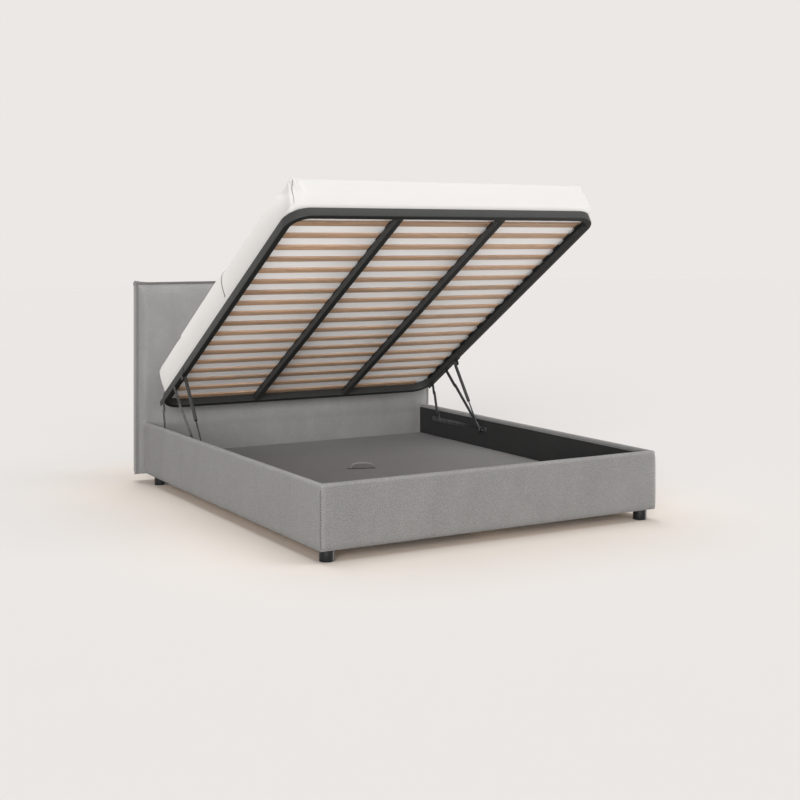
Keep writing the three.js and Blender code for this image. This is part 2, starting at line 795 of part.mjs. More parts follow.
// Plate on the frame's side tube, with the lugs that the arms and the gas spring meet
function frameBracket(side) {
  const front = onFrame(frontFramePivot);
  const rear = onFrame(rearFramePivot);
  const gas = onFrame(gasFramePivot);
  const strip = new THREE.Shape();
  const corners = [
    [-framePlateStart, 0],
    [-framePlateStart, framePlateHeight],
    [gas[0] - framePlateTail, framePlateHeight],
    [gas[0] - framePlateTail, 0],
  ];
  strip.setFromPoints(corners.map((corner) => new THREE.Vector2(...corner)));
  const start = layerStart(side, framePlateInner, framePlateOuter);
  const toStrip = (pivot, base, reach) => {
    const [y, z] = frameDirection(onBase(base), lifted(pivot));
    const climb = (reach - pivot[1]) / z;
    return [pivot[0] + y * climb, pivot[1] + z * climb];
  };
  const reach = framePlateHeight / 2;
  const frontLug = linkShape(front, toStrip(front, frontBasePivot, reach), lugWidth);
  const rearLug = linkShape(rear, toStrip(rear, rearBasePivot, reach), lugWidth);
  const gasLug = linkShape(gas, [gas[0], reach], lugWidth + bite);
  const inPlate = framePlateInner + bite;
  const shapes = [
    sidePlate(strip, framePlateThickness).translate(start, 0, 0),
    sidePlate(frontLug, framePlateThickness).translate(start, 0, 0),
    sidePlate(rearLug, framePlateThickness).translate(start, 0, 0),
    sidePlate(gasLug, framePlateThickness).translate(start, 0, 0),
    pinAcross(side, front, pinDiameter, inPlate, armOuter + gap + pinHeadThickness),
    pinAcross(side, front, pinHeadDiameter, armOuter + gap, armOuter + gap + pinHeadThickness),
  ];
  return joined(shapes);
}

// An arm in its own axes: its base pivot at the origin and its other end along Y
function arm(side, length, width, ends) {
  const shape = linkShape([0, 0], [length, 0], width);
  const holeDiameter = pinDiameter + 2 * pinClearance;
  drill(shape, [0, 0], holeDiameter);
  if (ends === 'both') drill(shape, [length, 0], holeDiameter);
  const bar = sidePlate(shape, armThickness).translate(layerStart(side, armInner, armOuter), 0, 0);
  if (ends === 'both') return bar;
  const rivet = pinAcross(side, [length, 0], bossDiameter, armOuter - bite, armOuter + pinHeadThickness);
  return joined([bar, rivet]);
}

// Gas spring in its own axes: its base pin at the origin and its length along Y
function gasSpring(side, length) {
  const bodyFrom = length - gasBodyLength;
  const rodRadius = gasRodDiameter / 2;
  const boreRadius = rodRadius + gasBoreClearance;
  const bodyRadius = gasBodyDiameter / 2;
  const eyeRadius = gasEyeDiameter / 2;
  const boreEnd = length - eyeRadius - gasEndWall;
  const bodyEnd = length - eyeRadius / 2;
  const lathe = (outline) => {
    const points = outline.map((corner) => new THREE.Vector2(...corner));
    return new THREE.LatheGeometry(points, circleSteps);
  };
  const eyeInner = gasMiddle - gasEyeThickness / 2;
  const eyeOuter = gasMiddle + gasEyeThickness / 2;
  const rod = lathe([
    [0, eyeRadius / 2],
    [rodRadius, eyeRadius / 2],
    [rodRadius, bodyFrom + gasRodEngaged],
    [0, bodyFrom + gasRodEngaged],
  ]).translate(side * gasMiddle, 0, 0);
  const rodEye = pinAcross(side, [0, 0], gasEyeDiameter, eyeInner, eyeOuter);
  const holeDiameter = pinDiameter + 2 * pinClearance;
  const hole = pinAcross(side, [0, 0], holeDiameter, eyeInner - bite, eyeOuter + bite);
  const body = lathe([
    [boreRadius, bodyFrom],
    [bodyRadius, bodyFrom],
    [bodyRadius, bodyEnd - eyeRadius],
    [rodRadius, bodyEnd],
    [0, bodyEnd],
    [0, boreEnd],
    [boreRadius, boreEnd],
    [boreRadius, bodyFrom],
  ]).translate(side * gasMiddle, 0, 0);
  const bodyEye = pinAcross(side, [length, 0], gasEyeDiameter, eyeInner, eyeOuter);
  const bodyPin = pinAcross(side, [length, 0], pinDiameter, eyeInner, framePlateInner - armClearance);
  const rodSolid = solidOf(rod).add(solidOf(rodEye)).subtract(solidOf(hole));
  return [geometryOf(rodSolid), joined([body, bodyEye, bodyPin])];
}

function placed(mesh, at, angle) {
  mesh.position.set(0, at[0], at[1]);
  mesh.rotation.x = angle;
  return mesh;
}

function mechanism() {
  const onBed = [];
  const onPlatform = [];
  const front = onBase(frontBasePivot);
  const rear = onBase(rearBasePivot);
  const gas = onBase(gasBasePivot);
  const frontEnd = lifted(onFrame(frontFramePivot));
  const rearEnd = lifted(onFrame(rearFramePivot));
  const gasEnd = lifted(onFrame(gasFramePivot));
  for (const [sideName, side] of [['left', -1], ['right', 1]]) {
    const frontBar = arm(side, distance(front, frontEnd), armWidth, 'both');
    const rearBar = arm(side, distance(rear, rearEnd), rearArmWidth, 'base');
    const [rod, body] = gasSpring(side, distance(gas, gasEnd));
    const gasAngle = angleOf(gas, gasEnd);
    onBed.push(piece(`base_bracket_${sideName}`, baseBracket(side), 'paint'));
    onBed.push(placed(piece(`front_arm_${sideName}`, frontBar, 'steel'), front, angleOf(front, frontEnd)));
    onBed.push(placed(piece(`rear_arm_${sideName}`, rearBar, 'steel'), rear, angleOf(rear, rearEnd)));
    onBed.push(placed(piece(`gas_spring_rod_${sideName}`, rod, 'chrome'), gas, gasAngle));
    onBed.push(placed(piece(`gas_spring_body_${sideName}`, body, 'paint'), gas, gasAngle));
    onPlatform.push(piece(`frame_bracket_${sideName}`, frameBracket(side), 'paint'));
  }
  return [onBed, onPlatform];
}

// The whole bed

const [mechanismOnBed, mechanismOnPlatform] = mechanism();

const platform = new THREE.Group();
platform.add(...frameTubes(), ...slats(), ...barPads(), ...slatHolders(), ...mattress());
platform.add(...mechanismOnPlatform);
platform.position.set(0, headEdge[0], headEdge[1]);
platform.rotation.x = -liftTilt;

const bed = new THREE.Group();
bed.add(headboardPad(), ...headboardBack(), ...rails(), ...feet(), ...bearers(), ...storageFloor());
bed.add(...mechanismOnBed, platform);
bed.position.y = -(baseLength + headboardThickness) / 2;

const group = new THREE.Group();
group.add(bed);

export default group;
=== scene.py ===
import json
import math

import bpy
from bpy.props import FloatProperty, FloatVectorProperty, IntProperty, PointerProperty
from mathutils import Matrix, Vector, noise

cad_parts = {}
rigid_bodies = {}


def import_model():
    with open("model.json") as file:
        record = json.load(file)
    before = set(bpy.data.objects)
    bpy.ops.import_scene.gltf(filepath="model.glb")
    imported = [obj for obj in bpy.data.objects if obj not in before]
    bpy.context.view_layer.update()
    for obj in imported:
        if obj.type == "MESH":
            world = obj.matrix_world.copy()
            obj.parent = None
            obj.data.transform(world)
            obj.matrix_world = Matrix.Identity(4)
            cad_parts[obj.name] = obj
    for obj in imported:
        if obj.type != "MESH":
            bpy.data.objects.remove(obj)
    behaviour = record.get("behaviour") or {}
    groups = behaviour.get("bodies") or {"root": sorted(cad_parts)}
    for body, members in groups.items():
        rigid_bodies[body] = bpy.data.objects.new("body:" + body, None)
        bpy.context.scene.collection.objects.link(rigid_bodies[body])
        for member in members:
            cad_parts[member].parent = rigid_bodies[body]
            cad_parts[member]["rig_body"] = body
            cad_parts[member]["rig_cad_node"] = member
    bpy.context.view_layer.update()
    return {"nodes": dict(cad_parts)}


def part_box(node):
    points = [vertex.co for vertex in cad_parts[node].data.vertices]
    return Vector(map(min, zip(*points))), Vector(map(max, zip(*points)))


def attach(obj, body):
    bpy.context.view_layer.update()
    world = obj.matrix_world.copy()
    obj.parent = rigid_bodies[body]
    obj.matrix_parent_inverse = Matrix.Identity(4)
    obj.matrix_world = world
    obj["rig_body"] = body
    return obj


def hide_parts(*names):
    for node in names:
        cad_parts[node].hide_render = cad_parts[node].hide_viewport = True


bl_info = {
    "name": "Ottoman Storage Bed",
    "version": (1, 0, 0),
    "blender": (4, 5, 0),
    "location": "3D View > Sidebar > Bed",
    "description": "Dresses the packed frame of an upholstered storage bed with a lifting slatted platform",
    "category": "Object",
}

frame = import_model()

# Places read from the frame
COVER_LOW, COVER_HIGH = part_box("foot_rail_cover")
SIDE_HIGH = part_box("side_rail_right_cover")[1]
PAD_LOW, PAD_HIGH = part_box("headboard_front_pad")
BACK_LOW, BACK_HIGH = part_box("headboard_back_cover")
FLOOR_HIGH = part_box("storage_floor_panel")[1]
FOOT_FACE = COVER_LOW.y
HALF_WIDTH = SIDE_HIGH.x
RAIL_TOP = COVER_HIGH.z
RAIL_LOW = COVER_LOW.z
SIDE_END = SIDE_HIGH.y

# Metres on the mattress's left side from its foot end: the folded hem, and the notch beyond it
HEM_AT, NOTCH_AT = 0.830, 1.475
# The knot of the sheet at the left foot corner: its place across, the lean of the seam below it, and the
# share of the mattress's height from which its fold starts
KNOT_ACROSS, SEAM_LEAN, FOLD_FROM = -0.783, 0.024, 0.42
# Levels of the mattress's side and of its rounded upper edge
SIDE_LEVELS = [("side", i / 26) for i in range(1, 26)]
OVER_LEVELS = [("over", i / 9) for i in range(10)]
# The photograph's direction of view, level, as its share across and along the bed
VIEW_ACROSS, VIEW_ALONG = 0.49917, 0.86651


# Sizes and colours that a user would change


def length_of(name, description, default):
    return FloatProperty(name=name, description=description, default=default, unit="LENGTH")


def colour_of(name, description, default):
    return FloatVectorProperty(name=name, description=description, default=default, subtype="COLOR")


class BedSizes(bpy.types.PropertyGroup):
    rail_thickness: length_of("Rail thickness", "Thickness of a covered rail", 0.025)
    cover_lip: length_of("Cover lip", "Depth of fabric down a rail's inner face", 0.022)
    cover_cloth: length_of("Cover cloth", "Thickness of the cover's cloth and lining", 0.003)
    outer_round: length_of("Outer rounding", "Rounding of a rail's outer top edge", 0.015)
    inner_round: length_of("Inner rounding", "Rounding of a rail's inner top edge", 0.009)
    corner_round: length_of("Corner rounding", "Rounding of the box's corners", 0.009)
    rail_puff: length_of("Rail puff", "How far a rail's padded face swells", 0.0025)
    stitch_pitch: length_of("Stitch pitch", "Distance from stitch to stitch", 0.0105)
    flange_width: length_of("Flange width", "Width of the headboard's flange", 0.018)
    pad_roll: length_of("Pad roll", "Width over which the headboard's pad rolls down", 0.028)
    pad_crown: length_of("Pad crown", "Extra height of the pad's middle", 0.003)
    tilt: FloatProperty(
        name="Platform tilt", description="Tilt of the lifted platform", default=math.radians(31.5), subtype="ANGLE"
    )
    head_edge_back: length_of("Head edge", "Lower head edge of the frame, from the foot face", 2.016)
    head_edge_up: length_of("Head edge height", "Height of the frame's lower head edge", 0.408)
    tube_width: length_of("Tube width", "Width of the frame's tube", 0.031)
    tube_height: length_of("Tube height", "Height of the frame's tube", 0.043)
    bend_radius: length_of("Bend radius", "Outer radius of the frame's bends", 0.110)
    bend_steps: IntProperty(name="Bend steps", description="Steps of each bend of the tube", default=20)
    mattress_thickness: length_of("Mattress thickness", "Thickness of the mattress at its crown", 0.168)


class BedColours(bpy.types.PropertyGroup):
    fabric: colour_of("Fabric", "Colour of the upholstery", (0.2245, 0.2210, 0.2170))
    lining: colour_of("Lining", "Colour of the box's lining", (0.0185, 0.0185, 0.0187))
    floor_cloth: colour_of("Floor cloth", "Colour of the storage floor", (0.168, 0.164, 0.163))
    webbing: colour_of("Webbing", "Colour of the pull loop", (0.32, 0.315, 0.316))
    frame_paint: colour_of("Frame paint", "Colour of the frame's powder coat", (0.033, 0.034, 0.0335))
    arm_steel: colour_of("Arm steel", "Colour of the arms and base brackets", (0.045, 0.046, 0.048))
    dark_rod: colour_of("Dark rod", "Colour of the gas springs' rods", (0.085, 0.086, 0.09))
    black_plastic: colour_of("Black plastic", "Colour of the feet, holders and pads", (0.009, 0.0095, 0.0105))
    slat_wood: colour_of("Slat wood", "Colour of the slats", (0.50, 0.325, 0.21))
    pine_timber: colour_of("Pine timber", "Colour of the hidden timber", (0.50, 0.34, 0.19))
    mattress: colour_of("Mattress", "Colour of the mattress cover", (0.695, 0.68, 0.662))
    backdrop: colour_of("Backdrop", "Colour of the floor and backdrop", (0.8388, 0.8069, 0.7835))


def sizes():
    return bpy.context.scene.bed_sizes


def colours():
    return bpy.context.scene.bed_colours


# Small modelling helpers


def free_selection():
    if bpy.context.mode != "OBJECT":
        bpy.ops.object.mode_set(mode="OBJECT")
    bpy.ops.object.select_all(action="DESELECT")


def take(obj):
    free_selection()
    obj.select_set(True)
    bpy.context.view_layer.objects.active = obj


def settle(obj):
    """Puts an object's place into its mesh."""
    take(obj)
    bpy.ops.object.transform_apply(location=True, rotation=True, scale=True)


def edit(obj):
    take(obj)
    bpy.ops.object.mode_set(mode="EDIT")
    bpy.ops.mesh.select_mode(type="VERT")
    bpy.ops.mesh.select_all(action="SELECT")


def leave_edit():
    bpy.ops.object.mode_set(mode="OBJECT")


def tidy_normals(obj, threshold=0.00002):
    edit(obj)
    bpy.ops.mesh.remove_doubles(threshold=threshold)
    bpy.ops.mesh.normals_make_consistent(inside=False)
    leave_edit()


def pick(obj, kind, test):
    """Opens an object in edit mode with only those edges or faces selected that pass a test."""
    edit(obj)
    bpy.ops.mesh.select_mode(type=kind)
    bpy.ops.mesh.select_all(action="DESELECT")
    leave_edit()
    for part in obj.data.edges if kind == "EDGE" else obj.data.polygons:
        part.select = test(part)
    bpy.ops.object.mode_set(mode="EDIT")


def close_ends(obj, threshold=0.0, fan=False):
    """Fills a mesh's open rims, after its doubles are merged where a threshold is given, with a fan for a long rim."""
    edit(obj)
    if threshold:
        bpy.ops.mesh.remove_doubles(threshold=threshold)
    bpy.ops.mesh.select_all(action="DESELECT")
    bpy.ops.mesh.select_non_manifold()
    bpy.ops.mesh.edge_face_add()
    if fan:
        bpy.ops.mesh.poke()
    leave_edit()


def apply_modifier(obj, kind, **settings):
    take(obj)
    modifier = obj.modifiers.new(kind.title(), kind)
    for key, value in settings.items():
        setattr(modifier, key, value)
    bpy.ops.object.modifier_apply(modifier=modifier.name)


def soften_edges(obj, width, segments=2, angle=35):
    apply_modifier(
        obj, "BEVEL", width=width, segments=segments, limit_method="ANGLE", angle_limit=math.radians(angle),
        use_clamp_overlap=True, harden_normals=False,
    )
    take(obj)
    bpy.ops.object.shade_smooth_by_angle(angle=math.radians(angle))


def smooth(obj):
    take(obj)
    bpy.ops.object.shade_smooth()


def new_box(name, low, high):
    free_selection()
    low, high = Vector(low), Vector(high)
    bpy.ops.mesh.primitive_cube_add(size=1, location=(low + high) / 2, scale=high - low)
    obj = bpy.context.object
    obj.name = name
    settle(obj)
    return obj


def new_grid(name, across, along, place):
    """A grid of cloth laid by place(u, v), with u and v from 0 to 1."""
    free_selection()
    bpy.ops.mesh.primitive_grid_add(x_subdivisions=across, y_subdivisions=along, size=1)
    obj = bpy.context.object
    obj.name = name
    for vertex in obj.data.vertices:
        vertex.co = Vector(place(vertex.co.x + 0.5, vertex.co.y + 0.5))
    obj.data.update()
    return obj


def cad_copy(node, name):
    """A copy of a CAD node as one joined mesh of flat faces."""
    source = frame["nodes"][node]
    obj = source.copy()
    obj.data = source.data.copy()
    obj.parent = None
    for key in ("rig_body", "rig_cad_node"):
        if key in obj:
            del obj[key]
    obj.name = name
    bpy.context.scene.collection.objects.link(obj)
    edit(obj)
    bpy.ops.mesh.customdata_custom_splitnormals_clear()
    bpy.ops.mesh.remove_doubles(threshold=0.000002)
    bpy.ops.mesh.dissolve_limited(angle_limit=math.radians(0.5))
    leave_edit()
    return obj


def finish_piece(obj, body, material, nodes=()):
    obj.data.materials.clear()
    obj.data.materials.append(material)
    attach(obj, body)
    if nodes:
        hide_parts(*nodes)
    return obj


def dress_node(node, material):
    """Gives a CAD node that stays in sight a material."""
    slots = frame["nodes"][node].data.materials
    slots.clear()
    slots.append(material)


def round_node(node, name, width, segments, body, material, angle=35):
    """Puts a copy with rounded edges in a CAD node's place."""
    obj = cad_copy(node, name)
    soften_edges(obj, width, segments, angle)
    finish_piece(obj, body, material, [node])


def denser(t, length, zone, share):
    """Distance along a length for t from 0 to 1, with lines close together in a zone at each end."""
    if t < share:
        return zone * t / share
    if t > 1 - share:
        return length - zone * (1 - t) / share
    return zone + (length - 2 * zone) * (t - share) / (1 - 2 * share)


def graded(length, start, end, dense=()):
    """Distances from 0 to a length: close together at both ends and around the given places."""
    marks = {0.0, length}
    for side, finest in ((0, start), (1, end)):
        step, place = finest, 0.0
        while place < length / 2:
            marks.add(length - place if side else place)
            place += step
            step = min(0.045, step * 1.11)
    for middle, reach, step in dense:
        count = int(2 * reach / step)
        marks = {m for m in marks if abs(m - middle) > reach}
        marks |= {middle - reach + step * i for i in range(count + 1)}
    return sorted(marks)


def ripple(point, scale, seed=0.0):
    """Smooth unevenness from -1 to 1 with bumps of about the given size."""
    return noise.noise(Vector(point) / scale + Vector((seed, seed * 1.7, seed * 0.6)))


def bell(distance, width):
    return math.exp(-((distance / width) ** 2))


def paint_light_and_shade(obj, amount):
    """Marks painted light and shade at each point, as amount(place) from -1, painted light, to 1, painted shade."""
    layer = obj.data.attributes.new("brushed", "FLOAT", "POINT")
    for vertex, value in zip(obj.data.vertices, layer.data):
        value.value = max(-1.0, min(1.0, amount(vertex.co)))


def fill_out(obj, held, pressure, most):
    """Lets the filling push a piece's cloth out from where it is held, no point further than the given distance."""
    scene = bpy.context.scene
    before = [vertex.co.copy() for vertex in obj.data.vertices]
    group = obj.vertex_groups.new(name="held")
    group.add([v.index for v in obj.data.vertices if held(v.co)], 1.0, "REPLACE")
    take(obj)
    modifier = obj.modifiers.new("Cloth", "CLOTH")
    cloth = modifier.settings
    cloth.quality = 4
    cloth.mass = 0.3
    cloth.tension_stiffness = cloth.compression_stiffness = 20
    cloth.shear_stiffness = 10
    cloth.bending_stiffness = 0.2
    cloth.shrink_min = -0.004
    cloth.use_pressure = True
    cloth.uniform_pressure_force = pressure
    cloth.effector_weights.gravity = 0
    cloth.vertex_group_mass = group.name
    modifier.collision_settings.use_collision = False
    frames = 20
    modifier.point_cache.frame_end = frames
    for number in range(1, frames + 1):
        scene.frame_set(number)
    bpy.ops.object.modifier_apply(modifier=modifier.name)
    scene.frame_set(1)
    obj.vertex_groups.clear()
    for vertex, start in zip(obj.data.vertices, before):
        moved = vertex.co - start
        if moved.length > 0:
            vertex.co = start + moved * (most * math.tanh(moved.length / most) / moved.length)


def platform_matrix():
    s = sizes()
    place = Matrix.Translation((0, FOOT_FACE + s.head_edge_back, s.head_edge_up))
    return place @ Matrix.Rotation(-s.tilt, 4, "X")


def onto_platform(obj):
    """Moves a piece that was modelled flat, head end at y = 0 and underside at z = 0, onto the lifted frame."""
    obj.matrix_world = platform_matrix() @ obj.matrix_world
    settle(obj)
    return obj


# Node trees


class Tree:
    """A short way to add nodes and join them."""

    def __init__(self, tree):
        self.tree = tree

    def add(self, kind, inputs=None, **settings):
        node = self.tree.nodes.new(kind)
        for key, value in settings.items():
            setattr(node, key, value)
        self.feed(node.inputs, inputs or {})
        return node

    def feed(self, sockets, values):
        """Joins each named socket to another socket, or sets it to a constant."""
        for key, value in values.items():
            if isinstance(value, bpy.types.NodeSocket):
                self.tree.links.new(value, sockets[key])
            else:
                sockets[key].default_value = value

    def math(self, operation, a, b=0.0, clamp=False):
        return self.add("ShaderNodeMath", {0: a, 1: b}, operation=operation, use_clamp=clamp).outputs[0]

    def mix(self, factor, a, b, blend="MIX"):
        node = self.add("ShaderNodeMix", {0: factor, 6: a, 7: b}, data_type="RGBA", blend_type=blend)
        return node.outputs[2]

    def range(self, value, low, high, to_low, to_high):
        node = self.add(
            "ShaderNodeMapRange", {0: value, 1: low, 2: high, 3: to_low, 4: to_high}, clamp=True
        )
        return node.outputs[0]


def new_group(name, inputs, outputs):
    group = bpy.data.node_groups.new(name, "ShaderNodeTree")
    for label, kind, default in inputs:
        socket = group.interface.new_socket(name=label, in_out="INPUT", socket_type=kind)
        if default is not None:
            socket.default_value = default
    for label, kind in outputs:
        group.interface.new_socket(name=label, in_out="OUTPUT", socket_type=kind)
    tree = Tree(group)
    start = tree.add("NodeGroupInput")
    end = tree.add("NodeGroupOutput")
    return group, tree, start.outputs, end.inputs


FLOAT = "NodeSocketFloat"
VECTOR = "NodeSocketVector"


def weave_group():
    """Crossing yarns with uneven nap: a height for bump and two masks for colour."""
    group, t, given, out = new_group(
        "Woven Nap",
        [("Vector", VECTOR, None), ("Yarns per Metre", FLOAT, 300.0), ("Nap", FLOAT, 0.5)],
        [("Height", FLOAT), ("Fleck", FLOAT), ("Yarn", FLOAT)],
    )
    angle = t.math("MULTIPLY", given["Yarns per Metre"], 2 * math.pi)
    warp = t.add("ShaderNodeTexNoise", {"Vector": given["Vector"], "Scale": 90.0, "Detail": 2.0})
    shift = t.add("ShaderNodeVectorMath", {0: warp.outputs["Color"], "Scale": 0.0012}, operation="SCALE")
    moved = t.add("ShaderNodeVectorMath", {0: given["Vector"], 1: shift.outputs[0]}, operation="ADD")
    scaled = t.add("ShaderNodeVectorMath", {0: moved.outputs[0], "Scale": angle}, operation="SCALE")
    parts = t.add("ShaderNodeSeparateXYZ", {0: scaled.outputs[0]})
    waves = [t.math("SINE", parts.outputs[i]) for i in range(3)]
    crossed = t.math("MULTIPLY", t.math("ADD", waves[0], waves[1]), waves[2])
    flecks = t.add("ShaderNodeTexNoise", {"Vector": given["Vector"], "Scale": 210.0, "Detail": 2.0, "Roughness": 0.6})
    fuzz = t.add("ShaderNodeTexNoise", {"Vector": given["Vector"], "Scale": 700.0, "Detail": 2.0, "Roughness": 0.7})
    nap = t.math("MULTIPLY", t.math("SUBTRACT", fuzz.outputs[0], 0.5), given["Nap"])
    height = t.math("ADD", t.math("MULTIPLY", crossed, 0.25), t.math("MULTIPLY", nap, 2.0))
    height = t.math("ADD", height, flecks.outputs[0])
    yarn = t.range(crossed, -2.0, 2.0, 0.0, 1.0)
    t.feed(out, {"Height": height, "Fleck": flecks.outputs[0], "Yarn": yarn})
    return group


def mottle_group():
    """Broad uneven patches, as on suede-like cloth."""
    group, t, given, out = new_group(
        "Mottle",
        [("Vector", VECTOR, None), ("Scale", FLOAT, 6.0), ("Contrast", FLOAT, 1.0)],
        [("Mask", FLOAT)],
    )
    broad = t.add(
        "ShaderNodeTexNoise",
        {"Vector": given["Vector"], "Scale": given["Scale"], "Detail": 5.0, "Roughness": 0.6, "Distortion": 0.6},
    )
    centred = t.math("MULTIPLY", t.math("SUBTRACT", broad.outputs[0], 0.5), given["Contrast"])
    t.feed(out, {"Mask": t.math("ADD", centred, 0.5, clamp=True)})
    return group


def wear_group():
    """A mask of the edges that stand out."""
    group, t, given, out = new_group(
        "Edge Wear", [("Amount", FLOAT, 1.0), ("Vector", VECTOR, None)], [("Mask", FLOAT)]
    )
    geometry = t.add("ShaderNodeNewGeometry")
    edge = t.range(geometry.outputs["Pointiness"], 0.505, 0.56, 0.0, 1.0)
    break_up = t.add("ShaderNodeTexNoise", {"Vector": given["Vector"], "Scale": 45.0, "Detail": 3.0})
    rough = t.range(break_up.outputs[0], 0.35, 0.65, 0.35, 1.0)
    worn = t.math("MULTIPLY", t.math("MULTIPLY", edge, rough), given["Amount"], clamp=True)
    t.feed(out, {"Mask": worn})
    return group


def grain_group():
    """Wood grain that runs along one axis of the given vector: a mask and a height."""
    group, t, given, out = new_group(
        "Wood Grain",
        [("Vector", VECTOR, None), ("Stretch", VECTOR, (1.0, 1.0, 1.0)), ("Seed", FLOAT, 0.0)],
        [("Grain", FLOAT), ("Streak", FLOAT), ("Height", FLOAT)],
    )
    scaled = t.add("ShaderNodeVectorMath", {0: given["Vector"], 1: given["Stretch"]}, operation="MULTIPLY")
    seeded = t.add("ShaderNodeVectorMath", {0: scaled.outputs[0], 1: given["Seed"]}, operation="ADD")
    rings = t.add(
        "ShaderNodeTexNoise",
        {"Vector": seeded.outputs[0], "Scale": 1.0, "Detail": 4.0, "Roughness": 0.55, "Distortion": 0.8},
    )
    bands = t.math("FRACT", t.math("MULTIPLY", rings.outputs[0], 7.0))
    grain = t.math("PINGPONG", bands, 0.5)
    fibres = t.add("ShaderNodeVectorMath", {0: seeded.outputs[0], 1: (3.0, 22.0, 22.0)}, operation="MULTIPLY")
    streak = t.add("ShaderNodeTexNoise", {"Vector": fibres.outputs[0], "Scale": 1.0, "Detail": 3.0})
    height = t.math("ADD", t.math("MULTIPLY", grain, 0.4), streak.outputs[0])
    t.feed(out, {"Grain": t.math("MULTIPLY", grain, 2.0), "Streak": streak.outputs[0], "Height": height})
    return group


def dust_group():
    """Light dust that lies on faces turned upwards."""
    group, t, given, out = new_group("Dust", [("Vector", VECTOR, None), ("Amount", FLOAT, 0.5)], [("Mask", FLOAT)])
    geometry = t.add("ShaderNodeNewGeometry")
    up = t.add("ShaderNodeSeparateXYZ", {0: geometry.outputs["Normal"]})
    facing = t.range(up.outputs[2], 0.3, 1.0, 0.0, 1.0)
    spread = t.add("ShaderNodeTexNoise", {"Vector": given["Vector"], "Scale": 14.0, "Detail": 6.0, "Roughness": 0.7})
    patch = t.range(spread.outputs[0], 0.4, 0.75, 0.0, 1.0)
    mask = t.math("MULTIPLY", t.math("MULTIPLY", facing, patch), given["Amount"], clamp=True)
    t.feed(out, {"Mask": mask})
    return group


GROUP_MAKERS = {
    "Woven Nap": weave_group,
    "Mottle": mottle_group,
    "Edge Wear": wear_group,
    "Wood Grain": grain_group,
    "Dust": dust_group,
}


def shared_group(name):
    return bpy.data.node_groups.get(name) or GROUP_MAKERS[name]()


def use_group(t, name, **inputs):
    node = t.add("ShaderNodeGroup")
    node.node_tree = shared_group(name)
    t.feed(node.inputs, {key.replace("_", " "): value for key, value in inputs.items()})
    return node.outputs


def new_material(name, colour):
    """A material with its shader, and the coordinates of the piece itself."""
    material = bpy.data.materials.new(name)
    material.use_nodes = True
    material.diffuse_color = (*colour, 1)
    t = Tree(material.node_tree)
    shader = material.node_tree.nodes["Principled BSDF"]
    place = t.add("ShaderNodeTexCoord").outputs["Object"]
    return material, t, shader, place


def tinted(colour, factor):
    return (*[min(1.0, c * factor) for c in colour], 1)


def set_bump(t, shader, height, strength, distance):
    bump = t.add("ShaderNodeBump", {"Height": height, "Strength": strength, "Distance": distance})
    t.feed(shader.inputs, {"Normal": bump.outputs[0]})


def finish_shader(t, shader, base, roughness, **others):
    """Joins or sets the shader's base colour, its roughness, and the sockets that the other names stand for."""
    values = {key.replace("_", " "): value for key, value in others.items()}
    t.feed(shader.inputs, {"Base Color": base, "Roughness": roughness, **values})


def facing_up(t):
    """How far a face is turned upwards, from -1 to 1."""
    normal = t.add("ShaderNodeNewGeometry").outputs["Normal"]
    return t.add("ShaderNodeSeparateXYZ", {0: normal}).outputs[2]


def with_painted_light_and_shade(t, base, lightest, darkest):
    """Lightens or darkens a colour by the painted light and shade marked at each point."""
    brushed = t.add("ShaderNodeAttribute", attribute_name="brushed").outputs["Fac"]
    return t.mix(1.0, base, t.range(brushed, -1.0, 1.0, lightest, darkest), "MULTIPLY")


def material_of(name, key, build):
    """A function that gives the named material in one of the bed's colours, and builds it at its first use."""

    def get(label=name, shade=1.0, *settings):
        known = bpy.data.materials.get(label)
        if known:
            return known
        colour = tuple(c * shade for c in getattr(colours(), key))
        material, t, shader, place = new_material(label, colour)
        build(t, shader, place, colour, *settings)
        return material

    return get


def build_upholstery(t, shader, place, colour, contrast=1.0, worn=0.4):
    """Grey suede-like cloth: woven, mottled and worn at its edges, with painted light and shade marked on the piece.
    """
    weave = use_group(t, "Woven Nap", Vector=place, Yarns_per_Metre=290.0, Nap=0.9)
    hanging = t.add("ShaderNodeVectorMath", {0: place, 1: (1.6, 1.6, 0.5)}, operation="MULTIPLY").outputs[0]
    broad = use_group(t, "Mottle", Vector=hanging, Scale=4.5, Contrast=2.0)
    small = use_group(t, "Mottle", Vector=place, Scale=24.0, Contrast=1.5)
    wear = use_group(t, "Edge Wear", Vector=place, Amount=worn)
    base = t.mix(broad["Mask"], tinted(colour, 0.93), tinted(colour, 1.07))
    patch = t.range(small["Mask"], 0.0, 1.0, 0.95, 1.05)
    base = t.mix(1.0, base, patch, "MULTIPLY")
    fleck = t.range(weave["Fleck"], 0.28, 0.72, 1 - 0.34 * contrast, 1 + 0.34 * contrast)
    base = t.mix(1.0, base, fleck, "MULTIPLY")
    yarn = t.range(weave["Yarn"], 0.0, 1.0, 1 - 0.12 * contrast, 1 + 0.12 * contrast)
    base = t.mix(1.0, base, yarn, "MULTIPLY")
    base = t.mix(wear["Mask"], base, tinted(colour, 1.3))
    # Painted light and shade: the colour is made up to 1.45 times lighter or 0.55 times as dark by the value marked at
    # each point.
    base = with_painted_light_and_shade(t, base, 1.45, 0.55)
    finish_shader(t, shader, base, 0.92, Sheen_Weight=0.25, Sheen_Roughness=0.5, Specular_IOR_Level=0.2)
    set_bump(t, shader, weave["Height"], 0.6, 0.0012 * contrast)


def build_lining(t, shader, place, colour):
    """Thin dark cloth."""
    weave = use_group(t, "Woven Nap", Vector=place, Yarns_per_Metre=420.0, Nap=0.3)
    broad = use_group(t, "Mottle", Vector=place, Scale=9.0, Contrast=1.4)
    base = t.mix(broad["Mask"], tinted(colour, 0.8), tinted(colour, 1.25))
    finish_shader(t, shader, base, 0.85)
    set_bump(t, shader, weave["Height"], 0.3, 0.0004)


